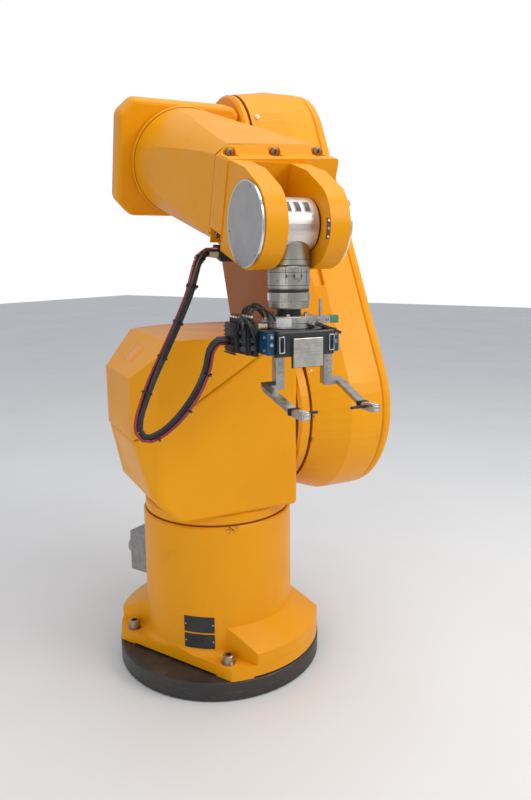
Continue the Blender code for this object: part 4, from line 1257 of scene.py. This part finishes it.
def make_cuff_details():
    """Dark ring beside the barrel, the sleeve above the cuff, and the cuff's grooves, lines and screws."""
    small("barrel_recess", ring(*BARREL_RECESS), "recess_black", "wrist", ALONG_Y)
    cuff_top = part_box("wrist_cuff")[1][2] - PLACES["wrist"].translation.z
    sleeve = ring(TUBE_RADIUS - 0.0040, CUFF_RADIUS, cuff_top, SLEEVE_TOP, 96)
    look = turned_metal("sleeve_metal", "wrist", None, CUFF_METAL, 0.36, 0.05, 0.85)
    piece("cuff_sleeve", sleeve, look, "wrist")
    inner = CUFF_RADIUS - MARK_DEPTH
    marks = bmesh.new()
    for low, high in CUFF_GROOVES:
        add(marks, ring(inner, CUFF_RADIUS + 0.0002, low, high, 64))
    for line in CUFF_LINES:
        add(marks, wrapped(inner, *line, 0.0012, 6))
    for angle in CUFF_DOTS:
        add(marks, wrapped(inner, angle - CUFF_DOT_HALF, angle + CUFF_DOT_HALF, *CUFF_DOT_HEIGHTS, 0.0016, 4))
    small("cuff_marks", marks, "mark_dark", "wrist")
    places = [around(CUFF_RADIUS - 0.0006, angle, CUFF_SCREW_HEIGHT) for angle in range(-60, 300, 60)]
    small("cuff_screws", screws("cuff", places), "cuff_screw_steel", "wrist")


def make_knurl():
    """Ridges of the knurled band on the tool flange, the dark groove above it and small screws."""
    ridges = bmesh.new()
    proud, half = KNURL_TOOTH
    foot = KNURL_RADIUS - MARK_DEPTH
    for i in range(KNURL_COUNT):
        ridge = prism([(foot, -half), (KNURL_RADIUS + proud, 0.0), (foot, half)], *KNURL_BAND, "XY")
        add(ridges, ridge, spin(360.0 * i / KNURL_COUNT))
    small("flange_knurl", ridges, "knurl_steel", "tool")
    small("flange_groove", ring(*FLANGE_GROOVE), "groove_black", "tool")
    places = [around(KNURL_RADIUS - 0.0014, angle, FLANGE_SCREW_HEIGHT) for angle in range(15, 375, 60)]
    small("flange_screws", screws("flange", places), "flange_screw_steel", "tool")


def block_corners(which):
    """Corners of the bracket or of its terminal block, in the tool's frame."""
    low = CHANGER_TOP - BRACKET_DROP + BRACKET_LIFT
    near = CHANGER_RADIUS + SEAT_GAP
    far = near + BRACKET_REACH
    start, end = (near, far) if which == "bracket" else (far + SEAT_GAP, far + TERMINAL_REACH)
    return (-BRACKET_HALF, start, low), (BRACKET_HALF, end, low + BRACKET_SIZE)


def make_changer_details():
    """Bare label, screws, knob and seam of the changer plate."""
    small("changer_label", wrapped(*CHANGER_LABEL), "label_white", "tool")
    places = [around(CHANGER_RADIUS - SUNK, angle, CHANGER_MIDDLE + lift) for angle, lift in CHANGER_SCREWS]
    heads = screws("changer_side", places)
    places = [spin(angle) @ at(CHANGER_SCREW_CIRCLE, 0.0, CHANGER_TOP - SUNK) for angle in range(30, 390, 60)]
    add(heads, screws("changer_top", places))
    small("changer_screws", heads, "small_steel", "tool")
    knob = turned(KNOB_PROFILE, 24)
    add(knob, ring(*KNOB_GRIP))
    place = around(CHANGER_RADIUS, KNOB_ANGLE, CHANGER_MIDDLE - KNOB_DROP)
    small("changer_knob", knob, "small_steel", "tool", place)
    small("changer_seam", ring(*CHANGER_SEAM), "seam_black", "tool")


def make_bracket_details():
    """Screws of the changer's bracket and ridges of its terminal block."""
    low, high = block_corners("bracket")
    middle = 0.5 * (low[2] + high[2])
    places = [at(high[0] - SUNK, y, middle) @ ALONG_X
              for y in (low[1] + BRACKET_SCREW_INSETS[0], high[1] - BRACKET_SCREW_INSETS[1])]
    small("bracket_screws", screws("bracket", places), "small_steel", "tool")
    low, high = block_corners("terminal")
    width, proud, inset, bevel = TERMINAL_RIDGE
    starts = [low[1] + TERMINAL_START + TERMINAL_PITCH * i for i in range(TERMINAL_RIDGES)]
    ridges = blocks([((high[0] - SUNK, y, low[2] + inset), (high[0] + proud, y + width, high[2] - inset))
                     for y in starts], bevel)
    small("terminal_ridges", ridges, "terminal_light", "tool")


def frame_bars(low_y, high_y, low_z, high_z, rim):
    """The four bars of a rectangular frame as (low y, high y, low z, high z)."""
    return ((low_y, low_y + rim, low_z, high_z), (high_y - rim, high_y, low_z, high_z),
            (low_y, high_y, low_z, low_z + rim), (low_y, high_y, high_z - rim, high_z))


def make_slots():
    """The two framed slots on the gripper's front."""
    frames = bmesh.new()
    insides = bmesh.new()
    low_z, high_z = SLOT_HEIGHTS
    proud, inset_y, inset_z, bevel = SLOT_BLADE
    start = GRIPPER_FRONT - SUNK
    for low_y, high_y in SLOTS:
        for y0, y1, z0, z1 in frame_bars(low_y, high_y, low_z, high_z, SLOT_RIM):
            add(frames, block((start, y0, z0), (GRIPPER_FRONT + SLOT_PROUD, y1, z1), SLOT_BEVEL))
        add(insides, block((start, low_y + SLOT_RIM, low_z + SLOT_RIM),
                           (GRIPPER_FRONT + SLOT_FLOOR, high_y - SLOT_RIM, high_z - SLOT_RIM)))
        add(insides, block((GRIPPER_FRONT, low_y + inset_y, low_z + inset_z),
                           (GRIPPER_FRONT + proud, high_y - inset_y, high_z - inset_z), bevel))
    small("slot_frames", frames, "slot_chrome", "tool")
    small("slot_insides", insides, "slot_black", "tool")


def make_cap_details():
    """Screws and top rails of the two end caps."""
    fronts = []
    outer = []
    rails = []
    low_x, high_x, low_z, high_z, bevel = CAP_RAIL
    for side in (-1, 1):
        middle = side * (GRIPPER_HALF_WIDTH + 0.5 * CAP_LENGTH)
        fronts += [at(GRIPPER_FRONT - CAP_SCREW_INSET - SUNK, middle, z) @ ALONG_X for z in CAP_FRONT_SCREWS]
        face = side * (GRIPPER_HALF_WIDTH + CAP_LENGTH - SUNK)
        outward = ALONG_Y if side > 0 else BACK_Y
        outer += [at(x, face, z) @ outward for x in CAP_SIDE_SCREWS[0] for z in CAP_SIDE_SCREWS[1]]
        low_y, high_y = sorted((side * (GRIPPER_HALF_WIDTH + CAP_RAIL_INSET),
                                side * (GRIPPER_HALF_WIDTH + CAP_LENGTH - CAP_RAIL_INSET)))
        rails.append(((low_x, low_y, low_z), (high_x, high_y, high_z)))
    heads = screws("cap_front", fronts)
    add(heads, screws("cap_side", outer))
    small("cap_screws", heads, "cap_screw_steel", "tool")
    small("cap_rails", blocks(rails, bevel), "rail_charcoal", "tool")


def make_gripper_details():
    """Dark skin, guard, backing of the front plate and the rails that the jaws run on."""
    back, setback, half_width, skin = TOP_SKIN
    plate = block((back, -half_width, GRIPPER_TOP - SUNK),
                  (GRIPPER_FRONT - setback, half_width, GRIPPER_TOP + skin))
    small("gripper_top_skin", plate, "skin_charcoal", "tool")
    guard = prism(GUARD_OUTLINE, GRIPPER_FRONT - GUARD_SPAN[0], GRIPPER_FRONT - GUARD_SPAN[1], "YZ")
    small("gripper_guard", guard, "guard_black", "tool")
    half_width, drop, top = BACKING
    backing = block((GRIPPER_FRONT - SUNK, -half_width, GRIPPER_BASE - drop),
                    (GRIPPER_FRONT + SEAT_GAP, half_width, top))
    small("front_plate_backing", backing, "slot_black", "tool")
    low_x, high_x, half_width, drop, bevel = RAIL_SIZE
    corners = [((low_x, y - half_width, GRIPPER_BASE - drop), (high_x, y + half_width, GRIPPER_BASE + SUNK))
               for y in RAILS]
    small("gripper_rails", blocks(corners, bevel), "rail_steel", "tool")


def finger_bands(middle, fall):
    """Two rubber bands round the end of a finger."""
    low = fall - BAND_DROP + FINGER_FALL * BAND_SETBACK / FINGER_REACH
    wide = 0.5 * TIP_SIZE + BAND_MARGIN
    bars = frame_bars(-wide, wide, low - BAND_LOWER, low + BAND_HEIGHT + BAND_THICK, BAND_THICK)
    starts = [FINGER_REACH - BAND_SETBACK + offset for offset in BANDS]
    return blocks([((x, middle + y0, z0), (x + BAND_WIDTH, middle + y1, z1))
                   for x in starts for y0, y1, z0, z1 in bars], BAND_BEVEL)


def tip_facets(middle, fall):
    """Machined ribs on top of a fingertip and the facet on its nose."""
    reach = FINGER_REACH + SEAT_GAP
    left = middle - 0.5 * TIP_SIZE
    right = middle + 0.5 * TIP_SIZE
    length, inset, low, high, bevel = TIP_RIB
    starts = [reach + TIP_RIB_START + TIP_RIB_PITCH * i for i in range(TIP_RIBS)]
    facets = blocks([((x, left + inset, fall + low), (x + length, right - inset, fall + high))
                     for x in starts], bevel)
    length, inset, low, high, bevel = TIP_NOSE
    end = reach + TIP_LENGTH
    nose = block((end - SUNK, left + inset, fall + low), (end + length, right - inset, fall + high), bevel)
    return add(facets, nose)


def make_finger_details():
    """Rubber bands, screws and machined facets on the two fingers."""
    fall = -JAW_DROP - FINGER_FALL
    for name, side in SIDES:
        carrier = "jaw_" + name
        middle = side * FINGER_JOG * TIP_SHIFT
        small("finger_bands_" + name, finger_bands(middle, fall), "band_rubber", carrier)
        places = [at(FINGER_FRONT - SUNK, 0.0, z) @ ALONG_X for z in FINGER_SCREWS]
        small("finger_screws_" + name, screws("finger", places), "finger_screw_steel", carrier)
        small("tip_facets_" + name, tip_facets(middle, fall), "facet_steel", carrier)


def smooth_route(points, step):
    """Points at an even step along a Catmull-Rom curve, with a straight lead at both ends."""
    path = [Vector(point) for point in points]
    dense = []
    for a, b, c, d in zip(path, path[1:], path[2:], path[3:]):
        for i in range(12):
            t = i / 12.0
            dense.append(0.5 * (2.0 * b + (c - a) * t + (2.0 * a - 5.0 * b + 4.0 * c - d) * t ** 2
                                + (3.0 * b - a - 3.0 * c + d) * t ** 3))
    dense.append(path[-2])
    total = sum((q - p).length for p, q in zip(dense, dense[1:]))
    spacing = total / round(total / step)
    even = [dense[0]]
    walked = 0.0
    for p, q in zip(dense, dense[1:]):
        walked += (q - p).length
        if walked >= spacing * (len(even) - 0.1):
            even.append(q)
    even[-1] = dense[-1]
    return [path[0]] + even + [path[-1]]


def beside(points, offset, angle):
    """A line that runs along another at an offset, turned slowly round it."""
    side = Vector((1.0, 0.0, 0.0))
    line = []
    for i, point in enumerate(points):
        along = (points[min(i + 1, len(points) - 1)] - points[max(i - 1, 0)]).normalized()
        side = (side - along * side.dot(along)).normalized()
        other = along.cross(side)
        turn = math.radians(angle + BUNDLE_TWIST * math.sin(FULL_TURN * i / len(points)))
        line.append(point + offset * (math.cos(turn) * side + math.sin(turn) * other))
    return line


def lay_hose(name, points, radius, look):
    """A hose along points in the wrist's frame, at its place at rest."""
    world = [PLACES["wrist"] @ point for point in points]
    made = object_of(name, tube(world, radius, HOSE_SIDES), look, 60.0)
    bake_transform(made)
    return made


def tie_rings(name, points, first, second):
    """The cable ties of one run of the bundle."""
    rings = bmesh.new()
    for i in range(3, len(points) - 2, TIE_SPACING):
        along = (points[i + 1] - points[i - 1]).normalized()
        turn = along.to_track_quat("Z", "Y").to_matrix().to_4x4()
        spot = 0.5 * (points[i] + 0.5 * (first[i] + second[i]))
        place = PLACES["wrist"] @ Matrix.Translation(spot) @ turn
        add(rings, ring(*TIE_RING), place)
        add(rings, block(*TIE_HEAD), place)
    made = object_of(name, rings, moulded("tie_black"))
    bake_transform(made)


def make_hoses():
    """Bundle of a black hose and three tubes, tied together, in two runs that meet at the loop's foot."""
    route = smooth_route(HOSE_ROUTE, HOSE_STEP)
    turn_point = Vector(HOSE_ROUTE[HOSE_TURN])
    middle = min(range(len(route)), key=lambda i: (route[i] - turn_point).length)
    reach = HOSE_RADIUS + TUBE_PIPE_RADIUS - TUBE_SQUEEZE
    lines = [("hose_black", route, HOSE_RADIUS, moulded("hose_rubber"))]
    for name, angle, finish in TUBES:
        lines.append((name, beside(route, reach, angle), TUBE_PIPE_RADIUS, moulded(finish)))
    first = None
    for part, run, joined in (("upper", slice(0, middle + 1), ("forearm", "wrist")),
                              ("lower", slice(middle, None), ("wrist", "tool"))):
        for name, line, radius, look in lines:
            made = lay_hose(name + "_" + part, line[run], radius, look)
            first = first or made
        tie_rings("hose_ties_" + part, route[run], lines[1][1][run], lines[2][1][run])
    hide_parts("gripper_hose")


def make_clamp_fittings():
    """Connector sleeve, gland and ribs of the hose clamp under the fork."""
    line = at(CLAMP_STATION, 0.0, CLAMP_HEIGHT) @ ALONG_Y
    small("clamp_sleeve", turned(CLAMP_SLEEVE, 24), "fitting_brown", "forearm", line)
    gland = bmesh.new()
    inner, outer, taper, start, pitch, width = CLAMP_GLAND
    for i in range(CLAMP_GLAND_RINGS):
        low = start - pitch * i
        add(gland, ring(inner, outer - taper * i, low - width, low, 24))
    small("clamp_gland", gland, "fitting_cream", "forearm", line)
    half, width, below, above, bevel = CLAMP_GROOVE
    grooves = [((CLAMP_STATION - half, y, CLAMP_HEIGHT - below),
                (CLAMP_STATION + half, y + width, CLAMP_HEIGHT + above)) for y in CLAMP_GROOVES]
    small("clamp_ribs", blocks(grooves, bevel), "fitting_black", "forearm")


def make_manifold():
    """The manifold as a stack of slices, which stands for the CAD block."""
    slices = bmesh.new()
    for i, (front, foot) in enumerate(MANIFOLD_SLICES):
        near = MANIFOLD_WALL - SLICE_PITCH * i
        low = MANIFOLD_TOP + foot
        add(slices, block((SLICE_BACK, near - SLICE_WIDTH, low), (front, near, MANIFOLD_TOP), SLICE_BEVEL))
        add(slices, block((SLICE_BACK + SLICE_INSET, near - SLICE_PITCH, low + SLICE_STEP),
                          (front - SLICE_INSET, near - SLICE_WIDTH + SUNK, MANIFOLD_TOP - SLICE_STEP)))
    stack = small("manifold_stack", slices, "manifold_black", "tool")
    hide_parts("hose_manifold")


def make_manifold_fittings():
    """Cups and collars on the manifold, plugs on its front and ribs on its left side."""
    cups = bmesh.new()
    collars = bmesh.new()
    for x in COLUMNS:
        for y in ROWS:
            add(cups, drum(*CUP), at(x, y, MANIFOLD_TOP))
            add(collars, drum(*COLLAR), at(x, y, MANIFOLD_TOP))
    for x in FITTING_STATIONS:
        place = at(x, MANIFOLD_WALL + FITTING_INSET, GRIPPER_TOP + FITTING_LIFT) @ ALONG_Y
        add(collars, turned(FITTING, 20), place)
    small("manifold_cups", cups, "fitting_black", "tool")
    small("manifold_collars", collars, "fitting_cream", "tool")
    plugs = bmesh.new()
    for drop in PORT_LEVELS:
        for y in ROWS:
            add(plugs, drum(*PORT), at(PORT_FACE, y, MANIFOLD_TOP - drop) @ ALONG_X)
    small("manifold_plugs", plugs, "plug_dark", "tool")
    half, near, far, height, bevel = MANIFOLD_RIB
    levels = [MANIFOLD_TOP - MANIFOLD_RIB_START - MANIFOLD_RIB_PITCH * i for i in range(MANIFOLD_RIBS)]
    ribs = blocks([((-half, MANIFOLD_WALL - far, z - height), (half, MANIFOLD_WALL - near, z + height))
                   for z in levels], bevel)
    small("manifold_ribs", ribs, "fitting_black", "tool")


def lay_jumper(name, points):
    """A short tube with both ends on the tool, riding on the tool's body."""
    made = piece(name, tube(points, JUMPER_RADIUS, JUMPER_SIDES), moulded("jumper_rubber"), "tool")


def make_jumpers():
    """Short tubes that rise from the manifold and arch over to the changer plate."""
    landing = CHANGER_RADIUS * 0.97
    for i, x in enumerate(COLUMNS):
        rise = 0.020 + 0.004 * ((i * 7) % 3)
        start = Vector((x, ROWS[0], MANIFOLD_TOP + TUBE_SEAT))
        aim = math.radians(-118.0 + 20.0 * i)
        level = CHANGER_TOP - 0.006 - 0.0015 * (i % 2)
        end = Vector((landing * math.cos(aim), landing * math.sin(aim), level))
        points = []
        for k in range(JUMPER_POINTS + 1):
            t = k / JUMPER_POINTS
            lift = rise * math.sin(math.pi * t) ** 0.9 * (1.0 - 0.35 * t)
            ease = t * t * (3.0 - 2.0 * t)
            points.append(start.lerp(end, ease) + Vector((0.0, 0.0, lift)))
        lay_jumper("jumper_%d" % i, points)


def make_loops():
    """Tubes that bow out of the manifold's front and bend back over its top."""
    for i in range(len(COLUMNS)):
        start = Vector((0.0215, ROWS[i % 2], MANIFOLD_TOP - PORT_LEVELS[i // 2]))
        end = Vector((COLUMNS[-1 - i], ROWS[1], MANIFOLD_TOP + TUBE_SEAT))
        route = [start, start + Vector((0.0065, 0.0, 0.0)), start + Vector((LOOP_BOW, -0.001, 0.006)),
                 Vector((0.0300, 0.5 * (start.y + end.y) - 0.001 * i, MANIFOLD_TOP + 0.002)),
                 Vector((0.5 * (0.028 + end.x), end.y, MANIFOLD_TOP + 0.0115)),
                 end + Vector((0.002, 0.0, LOOP_LIFT)), end + Vector((0.0, 0.0, 0.001)), end]
        lay_jumper("loop_%d" % i, smooth_route(route, 0.004))


def enamels():
    """Yellow paint of the castings and covers, dark at the seams between them."""
    arm_seam = ("shoulder", (0.0, ARM_INNER, 0.0), (0.0, 1.0, 0.0), 0.0004)
    hub_seam = ("shoulder", (0.0, SHOULDER_RIGHT, 0.0), (0.0, 1.0, 0.0), 0.0005)
    cover_seam = ("shoulder", (0.0, 0.0, AXIS_Z + SEAM_RISE), seam_normal(), 0.0012)
    elbow_seam = ("elbow", (0.0, ARM_INNER, 0.0), (0.0, 1.0, 0.0), 0.0004)
    ring_seam = ("elbow", (ELBOW_FRONT + RING_DEPTH, 0.0, 0.0), (1.0, 0.0, 0.0), 0.0007)
    return {
        "swivel_ring": paint("swivel_enamel"),
        "shoulder_casting": paint("shoulder_enamel", [cover_seam, hub_seam]),
        "shoulder_cover": paint("cover_enamel", [cover_seam, hub_seam]),
        "shoulder_hub": paint("hub_enamel", [arm_seam, hub_seam], ARM_CHIPS),
        "lower_arm_casting": paint("arm_enamel", [arm_seam, elbow_seam], ARM_CHIPS),
        "lower_arm_cover": paint("arm_cover_enamel"),
        "elbow_housing": paint("elbow_enamel"),
        "elbow_hub": paint("elbow_hub_enamel", [elbow_seam]),
        "elbow_rear_cover": paint("rear_cover_enamel"),
        "forearm_bearing_ring": paint("ring_enamel", [ring_seam]),
    }


def metals():
    """Turned and brushed metal of the wrist, the changer and the gripper."""
    rod = at(0.0, ROD_OFFSET, 0.0)
    return {
        "wrist_barrel": turned_metal("barrel_metal", "wrist", ALONG_Y, BARREL_METAL, 0.36, 0.03, 0.90),
        "wrist_cuff": turned_metal("cuff_metal", "wrist", None, CUFF_METAL, 0.34, 0.05, 0.80),
        "tool_flange": turned_metal("flange_metal", "tool", None, CUFF_METAL, 0.32, 0.05, 0.80),
        "changer_plate": turned_metal("changer_metal", "tool", None, CHANGER_METAL, 0.36, 0.05),
        "changer_bracket": brushed_metal("bracket_metal", "tool", (500.0, 30.0, 500.0), BRACKET_METAL),
        "bracket_rod": turned_metal("rod_metal", "tool", rod, ROD_METAL, 0.26, 0.2),
        "gripper_front_plate": brushed_metal("plate_nickel", "tool", (500.0, 18.0, 420.0), NICKEL, 0.30),
    }


def paired_looks(name, side):
    """Materials of the pieces that come in a left and a right one."""
    jaw = "jaw_" + name
    hub = at(FOREARM_LENGTH, 0.0, 0.0) @ (ALONG_Y if side > 0 else BACK_Y)
    disc = turned_metal("disc_" + name + "_metal", "forearm", hub, DISC_METAL, 0.40, 0.02, 0.93)
    finger = brushed_metal("finger_metal_" + name, jaw, (40.0, 420.0, 420.0), FINGER_METAL, 0.33)
    tip = brushed_metal("tip_metal_" + name, jaw, (420.0, 40.0, 420.0), TIP_METAL, 0.28)
    return {
        "ear_disc_" + name: disc,
        "end_cap_" + name: moulded("cap_blue_" + name, "cap_blue"),
        "finger_" + name: finger,
        "fingertip_" + name: tip,
        "fingertip_pin_" + name: moulded("pin_rubber_" + name, "pin_rubber"),
    }


def dress_frame():
    """Materials of the CAD pieces that are shown as they are."""
    looks = {"pedestal_plate": cast_black("pedestal_black"), "connector_box": sheet_grey("box_grey")}
    looks.update(enamels())
    looks.update(metals())
    for node, finish in MOULDED_NODES:
        looks[node] = moulded(finish)
    for name, side in SIDES:
        looks.update(paired_looks(name, side))
    for name, look in looks.items():
        for slot in frame["nodes"][name].material_slots:
            slot.material = look


def make_camera():
    camera = bpy.data.objects.new("camera", bpy.data.cameras.new("camera"))
    bpy.context.collection.objects.link(camera)
    camera.data.lens = CAMERA_LENS
    camera.data.sensor_width = 36.0
    camera.matrix_world = (spin(CAMERA_AZIMUTH)
                           @ at(0.0, -CAMERA_DISTANCE, CAMERA_HEIGHT)
                           @ spin(-CAMERA_YAW)
                           @ Matrix.Rotation(math.radians(90.0 + CAMERA_PITCH), 4, "X")
                           @ spin(CAMERA_ROLL))
    bpy.context.scene.camera = camera


def add_light(name, azimuth, distance, height, size, power, colour=(1.0, 1.0, 1.0)):
    """A soft square light that looks at the middle of the robot, with its azimuth from the camera's side."""
    data = bpy.data.lights.new(name, "AREA")
    data.size = size
    data.energy = power
    data.color = colour
    lamp = bpy.data.objects.new(name, data)
    bpy.context.collection.objects.link(lamp)
    angle = math.radians(CAMERA_AZIMUTH - 90.0 + azimuth)
    spot = Vector((distance * math.cos(angle), distance * math.sin(angle), height))
    target = Vector((0.0, 0.0, 0.65))
    turn = (target - spot).to_track_quat("-Z", "Y").to_matrix().to_4x4()
    lamp.matrix_world = Matrix.Translation(spot) @ turn


def make_studio():
    """Pale floor, a white background for the camera and soft lights."""
    floor = bpy.data.meshes.new("floor")
    size = 12.0
    floor.from_pydata([(size * x, size * y, -0.0005) for x, y in CORNERS], [], [(0, 1, 2, 3)])
    look = Look("floor_pale", FLOOR, 0.5)
    look.rough(look.remap(look.noise(6.0, 3.0), 0.3, 0.7, 0.42, 0.55))
    look.colour(look.mix(look.remap(look.noise(1.5, 3.0), 0.3, 0.7), FLOOR, (0.74, 0.74, 0.73)))
    floor.materials.append(look.made)
    ground = bpy.data.objects.new("floor", floor)
    bpy.context.collection.objects.link(ground)
    world = bpy.data.worlds.new("studio")
    bpy.context.scene.world = world
    world.use_nodes = True
    tree = world.node_tree
    soft = tree.nodes["Background"]
    soft.inputs["Color"].default_value = (0.90, 0.93, 1.0, 1.0)
    soft.inputs["Strength"].default_value = 0.62
    white = tree.nodes.new("ShaderNodeBackground")
    white.inputs["Color"].default_value = (1.0, 1.0, 1.0, 1.0)
    path = tree.nodes.new("ShaderNodeLightPath")
    switch = tree.nodes.new("ShaderNodeMixShader")
    tree.links.new(path.outputs["Is Camera Ray"], switch.inputs[0])
    tree.links.new(soft.outputs[0], switch.inputs[1])
    tree.links.new(white.outputs[0], switch.inputs[2])
    tree.links.new(switch.outputs[0], tree.nodes["World Output"].inputs["Surface"])
    add_light("ceiling", 60.0, 0.6, 3.6, 2.6, 52.0, (1.0, 0.98, 0.95))
    add_light("right", 62.0, 2.6, 2.1, 1.3, 30.0, (1.0, 0.98, 0.95))
    add_light("front", -28.0, 3.2, 1.1, 2.2, 13.0)
    bpy.context.scene.view_settings.view_transform = "Standard"


def main():
    make_camera()
    make_hoses()
    make_studio()
    dress_frame()
    make_foot()
    make_foot_bolts()
    make_rating_plates()
    make_socket_details()
    make_shoulder_details()
    make_cover_screws()
    make_forearm()
    make_fork()
    make_ear_details()
    make_barrel_pockets()
    make_cuff_details()
    make_knurl()
    make_changer_details()
    make_bracket_details()
    make_slots()
    make_cap_details()
    make_gripper_details()
    make_finger_details()
    make_clamp_fittings()
    make_manifold()
    make_manifold_fittings()
    make_jumpers()
    make_loops()


main()
